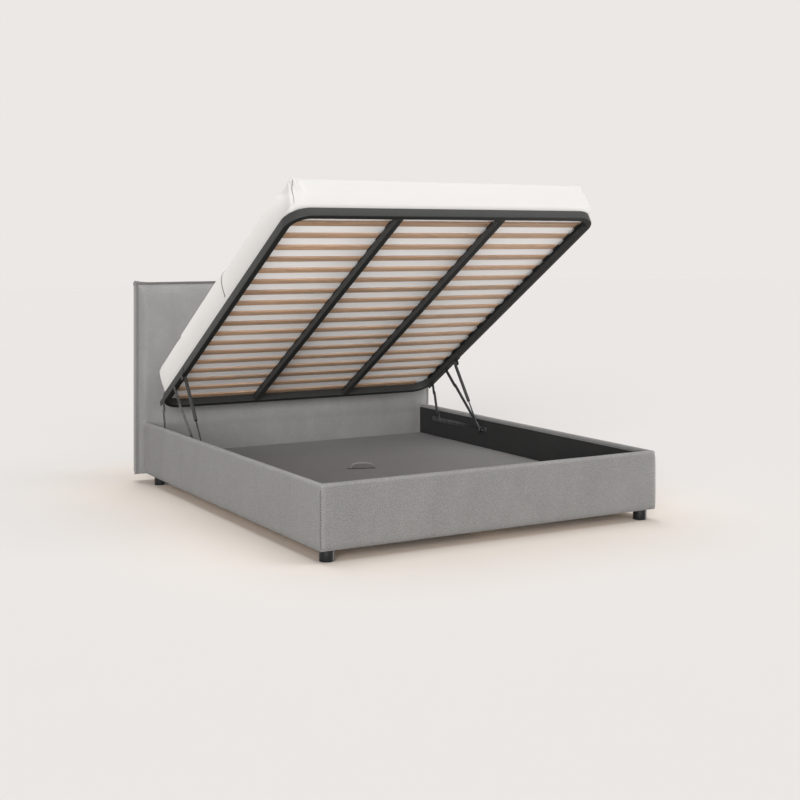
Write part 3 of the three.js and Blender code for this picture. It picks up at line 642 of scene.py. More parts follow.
def build_floor_cloth(t, shader, place, colour):
    """Dark cloth, with painted light towards the right and painted shade in the far right corner."""
    weave = use_group(t, "Woven Nap", Vector=place, Yarns_per_Metre=380.0, Nap=0.5)
    broad = use_group(t, "Mottle", Vector=place, Scale=3.0, Contrast=1.2)
    dust = use_group(t, "Dust", Vector=place, Amount=0.12)
    base = t.mix(broad["Mask"], tinted(colour, 0.93), tinted(colour, 1.07))
    fleck = t.range(weave["Fleck"], 0.3, 0.7, 0.9, 1.1)
    base = t.mix(1.0, base, fleck, "MULTIPLY")
    base = t.mix(dust["Mask"], base, tinted(colour, 2.0))
    across, along, _ = t.add("ShaderNodeSeparateXYZ", {0: place}).outputs
    # Painted light: up to 1.2 times lighter towards the right; painted shade: darker in the far right corner.
    painted_light_right = t.range(across, 0.3, 0.75, 1.0, 1.2)
    painted_corner_shade = t.math("MULTIPLY", t.range(across, 0.2, 0.65, 0.0, 0.45), t.range(along, 0.35, 0.8, 0.0, 1.0))
    base = t.mix(1.0, base, t.math("SUBTRACT", painted_light_right, painted_corner_shade), "MULTIPLY")
    finish_shader(t, shader, base, 0.8, Sheen_Weight=0.1)
    set_bump(t, shader, weave["Height"], 0.35, 0.0005)


def build_webbing(t, shader, place, colour):
    """Ribbed strap."""
    ribs = t.add("ShaderNodeTexWave", {"Vector": place, "Scale": 180.0, "Distortion": 0.4}, bands_direction="X")
    weave = use_group(t, "Woven Nap", Vector=place, Yarns_per_Metre=600.0, Nap=0.3)
    base = t.mix(ribs.outputs[1], tinted(colour, 0.7), tinted(colour, 1.4))
    finish_shader(t, shader, base, 0.75)
    set_bump(t, shader, t.math("ADD", ribs.outputs[1], weave["Height"]), 0.4, 0.0004)


def build_mattress_cloth(t, shader, place, colour):
    """Fine white cloth, with painted light that makes it paler underneath."""
    weave = use_group(t, "Woven Nap", Vector=place, Yarns_per_Metre=420.0, Nap=0.35)
    broad = use_group(t, "Mottle", Vector=place, Scale=4.0, Contrast=1.2)
    base = t.mix(broad["Mask"], tinted(colour, 0.975), tinted(colour, 1.01))
    # Painted light: faces turned down get a paler colour.
    under = t.range(facing_up(t), -0.6, -0.8, 0.0, 1.0)
    base = t.mix(under, base, (0.95, 0.943, 0.938, 1))
    # Painted light and shade from the value marked at each point.
    base = with_painted_light_and_shade(t, base, 1.25, 0.75)
    finish_shader(t, shader, base, 0.9, Sheen_Weight=0.1)
    set_bump(t, shader, weave["Height"], 0.25, 0.0005)


def build_frame_paint(t, shader, place, colour):
    """Powder coat, with painted shade on faces turned down."""
    skin = t.add("ShaderNodeTexNoise", {"Vector": place, "Scale": 900.0, "Detail": 2.0})
    broad = use_group(t, "Mottle", Vector=place, Scale=12.0, Contrast=1.2)
    wear = use_group(t, "Edge Wear", Vector=place, Amount=0.35)
    dust = use_group(t, "Dust", Vector=place, Amount=0.15)
    base = t.mix(broad["Mask"], tinted(colour, 0.9), tinted(colour, 1.1))
    base = t.mix(wear["Mask"], base, tinted(colour, 2.2))
    base = t.mix(dust["Mask"], base, (0.2, 0.19, 0.18, 1))
    face = facing_up(t)
    # Painted shade: faces turned down are darkened to as little as half, and their specular is lowered.
    base = t.mix(1.0, base, t.range(face, -0.8, -0.4, 0.5, 1.0), "MULTIPLY")
    shine = t.range(face, -0.8, -0.4, 0.10, 0.25)
    finish_shader(t, shader, base, t.range(broad["Mask"], 0.0, 1.0, 0.42, 0.58), Specular_IOR_Level=shine)
    set_bump(t, shader, skin.outputs[0], 0.25, 0.0002)


def build_arm_steel(t, shader, place, colour):
    """Painted steel, worn bright at its edges."""
    skin = t.add("ShaderNodeTexNoise", {"Vector": place, "Scale": 600.0, "Detail": 2.0})
    broad = use_group(t, "Mottle", Vector=place, Scale=30.0, Contrast=1.4)
    wear = use_group(t, "Edge Wear", Vector=place, Amount=0.7)
    base = t.mix(broad["Mask"], tinted(colour, 0.8), tinted(colour, 1.2))
    base = t.mix(wear["Mask"], base, (0.28, 0.28, 0.29, 1))
    finish_shader(t, shader, base, t.range(broad["Mask"], 0.0, 1.0, 0.32, 0.5), Metallic=0.6)
    set_bump(t, shader, skin.outputs[0], 0.2, 0.0002)


def build_dark_rod(t, shader, place, colour):
    """Polished dark metal with a thin film."""
    film = use_group(t, "Mottle", Vector=place, Scale=60.0, Contrast=1.5)
    base = t.mix(film["Mask"], tinted(colour, 0.9), tinted(colour, 1.05))
    finish_shader(t, shader, base, t.range(film["Mask"], 0.0, 1.0, 0.12, 0.28), Metallic=1.0)


def build_black_plastic(t, shader, place, colour):
    """Moulded plastic with a fine grain."""
    spark = t.add("ShaderNodeTexVoronoi", {"Vector": place, "Scale": 1400.0})
    wear = use_group(t, "Edge Wear", Vector=place, Amount=0.4)
    broad = use_group(t, "Mottle", Vector=place, Scale=40.0, Contrast=1.2)
    base = t.mix(wear["Mask"], tinted(colour, 1.0), tinted(colour, 3.0))
    finish_shader(t, shader, base, t.range(broad["Mask"], 0.0, 1.0, 0.3, 0.42), Specular_IOR_Level=0.25)
    set_bump(t, shader, spark.outputs[0], 0.15, 0.0002)


def build_slat_wood(t, shader, place, colour, seed):
    """Beech with its grain along the slat."""
    grain = use_group(t, "Wood Grain", Vector=place, Stretch=(1.6, 14.0, 14.0), Seed=seed * 3.7)
    broad = use_group(t, "Mottle", Vector=place, Scale=3.0, Contrast=1.5)
    shade = 1.0 + 0.10 * math.sin(seed * 2.3)
    base = t.mix(grain["Grain"], tinted(colour, 0.80 * shade), tinted(colour, 1.12 * shade))
    base = t.mix(t.range(grain["Streak"], 0.3, 0.7, 0.0, 0.45), base, tinted(colour, 0.62 * shade))
    base = t.mix(t.range(broad["Mask"], 0.0, 1.0, 0.0, 0.35), base, tinted(colour, 1.2 * shade))
    finish_shader(t, shader, base, t.range(grain["Streak"], 0.0, 1.0, 0.42, 0.62))
    set_bump(t, shader, grain["Height"], 0.25, 0.0004)


def build_pine_timber(t, shader, place, colour):
    """Pine with its grain along the beam."""
    grain = use_group(t, "Wood Grain", Vector=place, Stretch=(9.0, 1.5, 9.0), Seed=5.0)
    base = t.mix(grain["Grain"], tinted(colour, 0.82), tinted(colour, 1.15))
    base = t.mix(t.range(grain["Streak"], 0.3, 0.7, 0.0, 0.4), base, tinted(colour, 0.7))
    finish_shader(t, shader, base, 0.7)
    set_bump(t, shader, grain["Height"], 0.3, 0.0005)


def build_thread(t, shader, place, colour):
    """Twisted thread."""
    twist = t.add("ShaderNodeTexWave", {"Vector": place, "Scale": 900.0}, bands_direction="DIAGONAL")
    base = t.mix(twist.outputs[1], tinted(colour, 0.7), tinted(colour, 1.2))
    finish_shader(t, shader, base, 0.6)
    set_bump(t, shader, twist.outputs[1], 0.4, 0.0002)


upholstery = material_of("Grey Brushed Fabric", "fabric", build_upholstery)
lining_cloth = material_of("Black Lining", "lining", build_lining)
floor_cloth = material_of("Storage Floor Cloth", "floor_cloth", build_floor_cloth)
webbing_cloth = material_of("Dark Webbing", "webbing", build_webbing)
mattress_cloth = material_of("White Mattress Cover", "mattress", build_mattress_cloth)
frame_paint = material_of("Dark Powder Coat", "frame_paint", build_frame_paint)
arm_steel = material_of("Grey Painted Steel", "arm_steel", build_arm_steel)
dark_rod = material_of("Dark Polished Rod", "dark_rod", build_dark_rod)
black_plastic = material_of("Black Moulded Plastic", "black_plastic", build_black_plastic)
slat_wood = material_of("Beech Slat", "slat_wood", build_slat_wood)
pine_timber = material_of("Pine Timber", "pine_timber", build_pine_timber)
thread = material_of("Grey Thread", "fabric", build_thread)


# Box


def cover_section():
    """Outline of a rail's cover as (distance inwards, height) points, from under the rail to the end of its lip."""
    s = sizes()
    steps = 8
    low, top, thick = RAIL_LOW, RAIL_TOP, s.rail_thickness
    under = 0.007
    points = [(0.018, low), (0.012, low), (under, low)]
    for i in range(1, 5):
        angle = math.pi / 2 * i / 4
        points.append((under - under * math.sin(angle), low + under - under * math.cos(angle)))
    face_steps = 22
    face_low, face_high = low + under, top - s.outer_round
    for i in range(1, face_steps + 1):
        share = i / face_steps
        puff = s.rail_puff * (1 - (2 * share - 1) ** 4) * (0.9 - 0.1 * share)
        points.append((-puff, face_low + (face_high - face_low) * share))
    for i in range(1, steps + 1):
        angle = math.pi / 2 * i / steps
        points.append((s.outer_round * (1 - math.cos(angle)), face_high + s.outer_round * math.sin(angle)))
    for i in range(0, steps + 1):
        angle = math.pi / 2 * i / steps
        inner = thick - s.inner_round
        points.append((inner + s.inner_round * math.sin(angle), top - s.inner_round * (1 - math.cos(angle))))
    lip = top - s.cover_lip
    for i in range(1, 4):
        points.append((thick, top - s.inner_round + (lip + 0.001 - (top - s.inner_round)) * i / 3))
    points.append((thick - 0.001, lip))
    return points


def rounding(distance, radius):
    """How far a round corner falls back from the face at a distance from the corner."""
    if distance >= radius:
        return 0.0
    return radius - math.sqrt(max(0.0, radius**2 - (radius - distance) ** 2))


def rail_cover(name, length, to_space, mitres, seed):
    """One rail's cover, swept along the rail. to_space turns (along, inwards, height) into a place."""
    s = sizes()
    section = cover_section()
    count = len(section)
    lines = int(length / 0.014)
    first = s.corner_round * (1 - 1 / math.sqrt(2))

    def place(u, v):
        inwards, height = section[min(count - 1, round(u * (count - 1)))]
        raw = denser(v, length, 0.02, 0.06)
        start = max(inwards, first) if mitres[0] else 0.0
        end = length - (max(inwards, first) if mitres[1] else 0.0)
        along = start + (end - start) * raw / length
        fall = 0.0
        for there, distance, edge in (
            (mitres[0], along, along - start),
            (mitres[1], length - along, end - along),
        ):
            if there:
                fall = max(fall, rounding(distance, s.corner_round))
                fall += 0.0016 * bell(edge, 0.0030) - 0.0014 * bell(edge - 0.012, 0.006)
            else:
                fall = max(fall, rounding(distance, 0.005))
        soft = 0.0
        if inwards < 0.012:
            soft = 0.0009 * ripple((along, height, 0), 0.12, seed) + 0.0003 * ripple((along, height, 1), 0.03, seed)
        top_soft = 0.0006 * ripple((along, inwards, 2), 0.09, seed) if height > RAIL_TOP - 0.004 else 0.0
        side = max(inwards - soft, fall) if inwards < 0.0125 else inwards
        return to_space(along, side, height - max(0.0, -top_soft) - 0.0002)

    obj = new_grid(name, count - 1, lines, place)
    tidy_normals(obj)
    apply_modifier(obj, "SOLIDIFY", thickness=s.cover_cloth, offset=-1.0)
    smooth(obj)
    return obj


class BED_OT_rails(bpy.types.Operator):
    """Covers the three rails of the box with grey fabric that carries painted light and shade"""

    bl_idname = "bed.rails"
    bl_label = "Rail Covers"

    def execute(self, context):
        length = SIDE_END - FOOT_FACE
        width = 2 * HALF_WIDTH
        fabric = upholstery()
        makers = {
            "side_rail_left": (length, lambda a, i, h: (-HALF_WIDTH + i, FOOT_FACE + a, h), (True, False), 1.0),
            "side_rail_right": (length, lambda a, i, h: (HALF_WIDTH - i, FOOT_FACE + a, h), (True, False), 2.0),
            "foot_rail": (width, lambda a, i, h: (-HALF_WIDTH + a, FOOT_FACE + i, h), (True, True), 3.0),
        }
        for name, (run, to_space, mitres, seed) in makers.items():
            cover = rail_cover(f"{name}_upholstery", run, to_space, mitres, seed)
            tidy_normals(cover, 0.000005)
            # Painted light and shade on each cover, from the nap method below
            paint_light_and_shade(cover, self.nap)
            finish_piece(cover, "base", fabric, [f"{name}_cover"])
            dress_node(f"{name}_board", lining_cloth())
        return {"FINISHED"}

    def nap(self, co):
        """Painted light along the top edge and beside the front corner seams; painted shade low on the rails, and on
        the left rail towards the head, deepest at its head end.
        """
        amount = -0.45 * max(0.0, min(1.0, (co.z - RAIL_TOP + 0.016) / 0.008))
        amount += 0.6 * max(0.0, 1 - (co.z - RAIL_LOW) / 0.022)
        if co.y < FOOT_FACE + 0.012:
            to_corner = HALF_WIDTH - abs(co.x)
            amount -= 0.32 * bell(to_corner - 0.014, 0.009)
        elif co.x < -HALF_WIDTH + 0.02:
            amount += 0.60 * (co.y - FOOT_FACE) / (SIDE_END - FOOT_FACE) - 0.04
            amount += 0.45 * bell(co.y - SIDE_END, 0.008) - 0.22 * bell(co.y - SIDE_END + 0.018, 0.008)
        return amount


class BED_OT_corner_stitches(bpy.types.Operator):
    """Sews a row of stitches down each front corner seam"""

    bl_idname = "bed.corner_stitches"
    bl_label = "Corner Stitches"

    def execute(self, context):
        s = sizes()
        height = RAIL_TOP - RAIL_LOW - 0.03
        count = int(height / s.stitch_pitch)
        for name, side in (("left", -1), ("right", 1)):
            free_selection()
            back = s.corner_round * (1 - 1 / math.sqrt(2)) + 0.0012
            place = (side * (HALF_WIDTH - back), FOOT_FACE + back, RAIL_LOW + 0.014)
            bpy.ops.mesh.primitive_uv_sphere_add(segments=8, ring_count=6, radius=0.0024, location=place)
            stitch = bpy.context.object
            stitch.name = f"corner_stitches_{name}"
            edit(stitch)
            bpy.ops.transform.resize(value=(1.0, 1.0, 1.15))
            leave_edit()
            settle(stitch)
            apply_modifier(
                stitch, "ARRAY", count=count, use_relative_offset=False, use_constant_offset=True,
                constant_offset_displace=(0, 0, s.stitch_pitch),
            )
            for vertex in stitch.data.vertices:
                share = (vertex.co.z - RAIL_LOW) / (RAIL_TOP - RAIL_LOW)
                out = s.rail_puff * (1 - (2 * share - 1) ** 4) * (0.9 - 0.1 * share)
                vertex.co.y -= out
                vertex.co.x += side * out
            smooth(stitch)
            finish_piece(stitch, "base", thread("Dark Thread", 0.2))
        return {"FINISHED"}


class BED_OT_feet(bpy.types.Operator):
    """Turns the four round feet, with a soft shoulder and a glide"""

    bl_idname = "bed.feet"
    bl_label = "Feet"

    def execute(self, context):
        for end in ("front", "rear"):
            for side in ("left", "right"):
                node = f"foot_{end}_{side}"
                low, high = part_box(node)
                radius, middle = (high.x - low.x) / 2, (low + high) / 2
                free_selection()
                bpy.ops.mesh.primitive_cylinder_add(
                    vertices=64, radius=radius, depth=high.z - low.z, location=middle
                )
                foot = bpy.context.object
                foot.name = f"{node}_turned"
                settle(foot)
                for where, inset, step in ((low.z, 0.007, 0.0015), (high.z, 0.005, 0.0)):
                    pick(foot, "FACE", lambda f: abs(f.center.z - where) < 1e-5 and abs(f.normal.z) > 0.9)
                    bpy.ops.mesh.inset(thickness=inset)
                    if step:
                        bpy.ops.mesh.extrude_region_move(TRANSFORM_OT_translate={"value": (0, 0, step)})
                    leave_edit()
                soften_edges(foot, 0.0025, 3, 40)
                tidy_normals(foot)
                finish_piece(foot, "base", black_plastic(), [node])
        return {"FINISHED"}


class BED_OT_bearers(bpy.types.Operator):
    """Rounds the edges of the bearers under the storage floor"""

    bl_idname = "bed.bearers"
    bl_label = "Bearers"

    def execute(self, context):
        for end in ("side_left", "side_right", "cross_foot", "cross_head", "middle"):
            round_node(f"bearer_{end}", f"floor_bearer_{end}", 0.003, 2, "base", pine_timber())
        dress_node("headboard_core", pine_timber())
        return {"FINISHED"}


class BED_OT_storage_floor(bpy.types.Operator):
    """Covers the storage floor with dark cloth, and adds its pull loop with a painted shadow piece under it"""

    bl_idname = "bed.storage_floor"
    bl_label = "Storage Floor"

    def execute(self, context):
        cloth = floor_cloth()
        round_node("storage_floor_panel", "storage_floor_board", 0.003, 3, "floor_panel", cloth)
        for side in ("left", "right"):
            round_node(f"floor_ledge_{side}", f"floor_edge_board_{side}", 0.003, 3, "base", cloth)

        low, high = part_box("floor_pull_loop")
        middle = (low + high) / 2
        turn = math.radians(-20)
        half_span, strap, thick = 0.062, 0.025, 0.0022
        rise = high.z - FLOOR_HIGH.z - thick

        def place(u, v):
            run = (u - 0.5) * 2
            across = (v - 0.5) * strap
            x = half_span * run
            arch = max(0.0, 1 - abs(run) ** (9 if run < 0 else 3.2)) ** 0.7 * (0.86 + 0.14 * min(1.0, u / 0.45))
            lean = 0.10 * math.sin(math.pi * u)
            z = FLOOR_HIGH.z + 0.0012 + rise * arch * (1 + 0.10 * across / strap)
            if abs(run) > 0.985:
                z = FLOOR_HIGH.z + 0.0012
            y = across + rise * arch * lean
            return (
                middle.x + x * math.cos(turn) - y * math.sin(turn),
                middle.y + x * math.sin(turn) + y * math.cos(turn),
                z,
            )

        loop = new_grid("floor_pull_strap", 48, 6, place)
        apply_modifier(loop, "SOLIDIFY", thickness=thick, offset=0.0)
        soften_edges(loop, 0.0006, 2, 50)
        finish_piece(loop, "floor_panel", webbing_cloth(), ["floor_pull_loop"])

        # Painted shadow: a thin dark piece lies on the floor where the strap shades it.
        slot = new_box("floor_pull_slot", (-half_span - 0.022, -0.009, 0.0), (half_span + 0.002, 0.009, 0.0012))
        edit(slot)
        bpy.ops.mesh.bevel(offset=0.0005, segments=2, affect="EDGES")
        leave_edit()
        slot.rotation_euler.z = turn
        slot.location = (middle.x - 0.004, middle.y - 0.012, FLOOR_HIGH.z - 0.0004)
        settle(slot)
        tidy_normals(slot)
        smooth(slot)
        finish_piece(slot, "floor_panel", lining_cloth())
        return {"FINISHED"}


# Headboard


class BED_OT_headboard(bpy.types.Operator):
    """Makes the headboard's padded front, its flange with stitches, and its covered back"""

    bl_idname = "bed.headboard"
    bl_label = "Headboard"

    def execute(self, context):
        s = sizes()
        self.half_x = PAD_HIGH.x
        self.low, self.high = BACK_LOW.z, PAD_HIGH.z + 0.006
        self.seam = PAD_HIGH.y
        # Painted light: the headboard's fabric, for its flange and back, is the rails' fabric made 1.25 times lighter.
        fabric = upholstery("Headboard Fabric", 1.25, 0.27)
        self.pad(s)
        self.flange(s, fabric)
        self.stitches(s)
        low = (-self.half_x, self.seam + 0.0025, self.low)
        high = (self.half_x, BACK_HIGH.y, self.high)
        back = new_box("headboard_back", low, high)
        edit(back)
        bpy.ops.mesh.bevel(offset=0.012, segments=5, affect="EDGES")
        bpy.ops.mesh.subdivide(number_cuts=3)
        leave_edit()
        smooth(back)
        finish_piece(back, "base", fabric, ["headboard_back_cover"])
        return {"FINISHED"}

    def pad(self, s):
        """The padded front: rolled edges, a slight crown, puckers along the seam and a pinch at each corner."""
        depth = self.seam - PAD_LOW.y
        middle_z, half_z = (self.low + self.high) / 2, (self.high - self.low) / 2
        half_x = self.half_x

        def rolled(distance, half, roll):
            past = max(0.0, abs(distance) - (half - roll)) / roll
            return math.sqrt(max(0.0, 1 - past**2))

        def front(u, v):
            x = denser(u, 2 * half_x, 0.06, 0.14) - half_x
            up = denser(v, 2 * half_z, 0.06, 0.17) - half_z
            crown = (1 - (x / half_x) ** 2) * (1 - (up / half_z) ** 2)
            stand = depth - s.pad_crown + s.pad_crown * crown
            to_side, to_top = half_x - abs(x), half_z - up
            edge = min(to_side, to_top)
            pucker = 0.0010 * ripple((x, up, edge * 0.2), 0.024, 4.0) * bell(edge - 0.014, 0.022)
            wave = 0.0009 * ripple((x, up, 0), 0.15, 7.0) + 0.0004 * ripple((x, up * 0.5, 2), 0.05, 9.0)
            wave = abs(wave) * min(1.0, edge / 0.08)
            pinch = 0.006 * bell(to_side - 0.016 - 0.12 * to_top, 0.006) * bell(to_top - 0.030, 0.022)
            roll = s.pad_roll if up > 0 else s.pad_roll * 0.4
            y = self.seam - (stand + pucker - wave - pinch) * rolled(x, half_x, s.pad_roll) * rolled(up, half_z, roll)
            return x, y, middle_z + up

        pad = new_grid("headboard_pad", 170, 110, front)
        fill_out(pad, lambda co: co.y > self.seam - 0.006 or co.z < 0.29, 4.0, 0.004)
        close_ends(pad, fan=True)
        tidy_normals(pad)
        smooth(pad)

        # Painted shade on the pad's rolled sides and edges, painted light just below its top, and low down a painted
        # gradient from light on the left to shade on the right.
        def painted_pad_shade(co):
            to_side, to_top = half_x - abs(co.x), self.high - co.z
            roll = 1.3 * s.pad_roll * min(1.0, 0.15 + to_top / 0.07)
            amount = 0.42 * max(0.0, min(1.0, 1.35 * (1 - to_side / roll))) ** 0.8
            amount += 0.5 * bell(to_side, 0.0045) + 0.04 - 0.14 * bell(to_top - 0.02, 0.04)
            amount += 0.10 * max(0.0, min(1.0, 2 - to_side / 0.05, to_side / 0.03 - 1))
            amount += 0.08 - 0.08 * min(1.0, to_side / 0.1)
            low = max(0.0, min(1.0, (0.42 - co.z) / 0.06)) * max(0.0, min(1.0, to_side / 0.05 - 1))
            return amount + low * (0.68 * max(0.0, (co.x + 0.1) / 0.85) ** 1.6 - 0.3)

        paint_light_and_shade(pad, painted_pad_shade)
        # Painted light: the pad's fabric is 1.25 times lighter too, and has no edge wear.
        unworn = upholstery("Headboard Pad Fabric", 1.25, 0.27, 0.0)
        finish_piece(pad, "base", unworn, ["headboard_front_pad"])

    def rim(self, along):
        """A place on the pad's rim and the way out from it, for a distance up the left side, across and down."""
        side, top = self.high - self.low, 2 * self.half_x
        turn = 0.012
        if along < side - turn:
            return (-self.half_x, self.low + along), (-1.0, 0.0)
        if along < side + turn:
            share = (along - side + turn) / (2 * turn)
            angle = math.pi - math.pi / 2 * share
            return (-self.half_x, self.high), (math.cos(angle) * 1.16, math.sin(angle) * 1.16)
        if along < side + top - turn:
            return (-self.half_x + along - side, self.high), (0.0, 1.0)
        if along < side + top + turn:
            share = (along - side - top + turn) / (2 * turn)
            angle = math.pi / 2 - math.pi / 2 * share
            return (self.half_x, self.high), (math.cos(angle) * 1.16, math.sin(angle) * 1.16)
        return (self.half_x, self.high - (along - side - top)), (1.0, 0.0)

    def drift(self, place, reach):
        """How far the flange's cloth strays from flat, at a place along it and a share of its width."""
        x, z = place
        wavy = ripple((x, z, 0), 0.10, 11.0) * reach
        return wavy, ripple((x, z, 3), 0.035, 12.0) * reach

    def flange(self, s, fabric):
        """A flat double edge of cloth that stands out round the sides and the top."""
        half_x = self.half_x
        length = 2 * (self.high - self.low) + 2 * half_x
        corners = (self.high - self.low, self.high - self.low + 2 * self.half_x)
        lines = graded(length, 0.004, 0.004, ((corners[0], 0.020, 0.0012), (corners[1], 0.020, 0.0012)))
        profile = 14

        def band(u, v):
            along = lines[round(u * (len(lines) - 1))]
            place, out = self.rim(along)
            turn = 2 * math.pi * v
            reach = 0.44 + 0.56 * math.cos(turn)
            thick = 0.0022 * math.sin(turn) * (1.0 - 0.3 * reach)
            wavy, flutter = self.drift(place, reach)
            on_top = max(0.0, min(1.0, (place[1] - self.high + 0.03) / 0.03)) if abs(out[0]) < 0.5 else 0.0
            width = s.flange_width * (0.93 - 0.25 * on_top)
            ear = min(abs(along - c) for c in corners)
            width += 0.005 * bell(ear, 0.03)
            width += 0.0008 * flutter - 0.0012 * abs(wavy)
            forward = (0.008 * on_top + 0.0015) * max(0.0, reach)
            y = self.seam + 0.0024 + thick - forward + 0.0018 * wavy + 0.0006 * flutter
            return place[0] + out[0] * width * reach, y, place[1] + out[1] * width * reach

        flange = new_grid("headboard_flange", len(lines) - 1, profile, band)
        close_ends(flange, 0.00002)
        tidy_normals(flange)
        smooth(flange)
        # Painted shade on the whole flange, deeper along its top and beside the pad's sides.
        paint_light_and_shade(flange, lambda co: 0.22 + 0.4 * max(float(co.z > self.high - 0.004), bell(abs(co.x) - half_x, 0.004)))
        finish_piece(flange, "base", fabric)

    def stitches(self, s):
        """A row of stitches in the groove between the pad and the flange."""
        pitch = s.stitch_pitch
        length = 2 * (self.high - self.low) + 2 * self.half_x
        free_selection()
        bpy.ops.mesh.primitive_uv_sphere_add(segments=6, ring_count=4, radius=0.0006)
        row = bpy.context.object
        row.name = "flange_stitches"
        edit(row)
        bpy.ops.transform.resize(value=(4.0, 0.8, 1.0))
        leave_edit()
        count = int(length / pitch) - 2
        apply_modifier(
            row, "ARRAY", count=count, use_relative_offset=False, use_constant_offset=True,
            constant_offset_displace=(pitch, 0, 0),
        )
        for vertex in row.data.vertices:
            along = vertex.co.x + pitch
            place, out = self.rim(along)
            wavy, flutter = self.drift(place, 0.2)
            side = 0.0042 + vertex.co.z
            y = self.seam - 0.0004 + vertex.co.y + 0.0018 * wavy + 0.0006 * flutter
            vertex.co = (place[0] + out[0] * side, y, place[1] + out[1] * side)
        tidy_normals(row, 0.000001)
        smooth(row)
        finish_piece(row, "base", thread(shade=0.75))


# Platform


class BED_OT_platform_frame(bpy.types.Operator):
    """Bends the perimeter tube and adds the two lengthwise bars"""

    bl_idname = "bed.platform_frame"
    bl_label = "Platform Frame"

    def execute(self, context):
        s = sizes()
        tube_low, tube_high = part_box("platform_perimeter_tube")
        half = tube_high.x
        rise = tube_high.z - tube_low.z
        length = (rise - s.tube_height * math.cos(s.tilt)) / math.sin(s.tilt)
        ring = new_box("platform_tube", (-half, -length, 0), (half, 0, s.tube_height))

        def upright(edge):
            a, b = (ring.data.vertices[i].co for i in edge.vertices)
            return abs(a.z - b.z) > 0.5 * s.tube_height

        pick(ring, "EDGE", upright)
        bpy.ops.mesh.bevel(offset=s.bend_radius, segments=s.bend_steps, affect="EDGES")
        pick(ring, "FACE", lambda face: abs(face.normal.z) > 0.9)
        bpy.ops.mesh.inset(thickness=s.tube_width, use_boundary=True)
        bpy.ops.mesh.bridge_edge_loops()
        leave_edit()
        tidy_normals(ring)
        soften_edges(ring, 0.0042, 4, 50)
        onto_platform(ring)
        finish_piece(ring, "platform", frame_paint(), ["platform_perimeter_tube"])

        for side in ("left", "right"):
            bar, name = f"platform_bar_{side}", f"platform_long_bar_{side}"
            round_node(bar, name, 0.003, 3, "platform", frame_paint())
        return {"FINISHED"}


class BED_OT_slats(bpy.types.Operator):
    """Makes the slats with rounded edges, and their holders and pads"""

    bl_idname = "bed.slats"
    bl_label = "Slats"

    def execute(self, context):
        names = sorted(n for n in frame["nodes"] if n.startswith("slat_") and n[5:].isdigit())
        for number, node in enumerate(names):
            wood = slat_wood(f"Beech Slat {number % 6}", 1.0, number % 6)
            round_node(node, f"beech_{node}", 0.0022, 3, "platform", wood)
        for side in ("left", "right"):
            for node, name in (("bar_pad_strip", "bar_pads"), ("slat_holder_strip", "slat_holders")):
                strip, name = f"{node}_{side}", f"{name}_{side}"
                round_node(strip, name, 0.0012, 2, "platform", black_plastic(), 40)
        return {"FINISHED"}


class BED_OT_mechanism(bpy.types.Operator):
    """Rounds the edges of the brackets, arms and gas springs"""

    bl_idname = "bed.mechanism"
    bl_label = "Lifting Mechanism"

    def execute(self, context):
        kinds = (
            ("base_bracket", "base", "frame_paint", arm_steel, 0.0005),
            ("frame_bracket", "platform", "frame_paint", frame_paint, 0.0005),
            ("front_arm", "front_arm", "arm_steel", arm_steel, 0.0006),
            ("rear_arm", "rear_arm", "arm_steel", arm_steel, 0.0006),
            ("gas_spring_rod", "gas_rod", "rod_chrome", dark_rod, 0.0003),
            ("gas_spring_body", "gas_body", "gas_paint", frame_paint, 0.0005),
        )
        for side in ("left", "right"):
            for node, body, slot, material, width in kinds:
                rider = body if body in ("base", "platform") else f"{body}_{side}"
                round_node(f"{node}_{side}", f"{node}_{side}_formed", width, 2, rider, material(), 40)
        return {"FINISHED"}


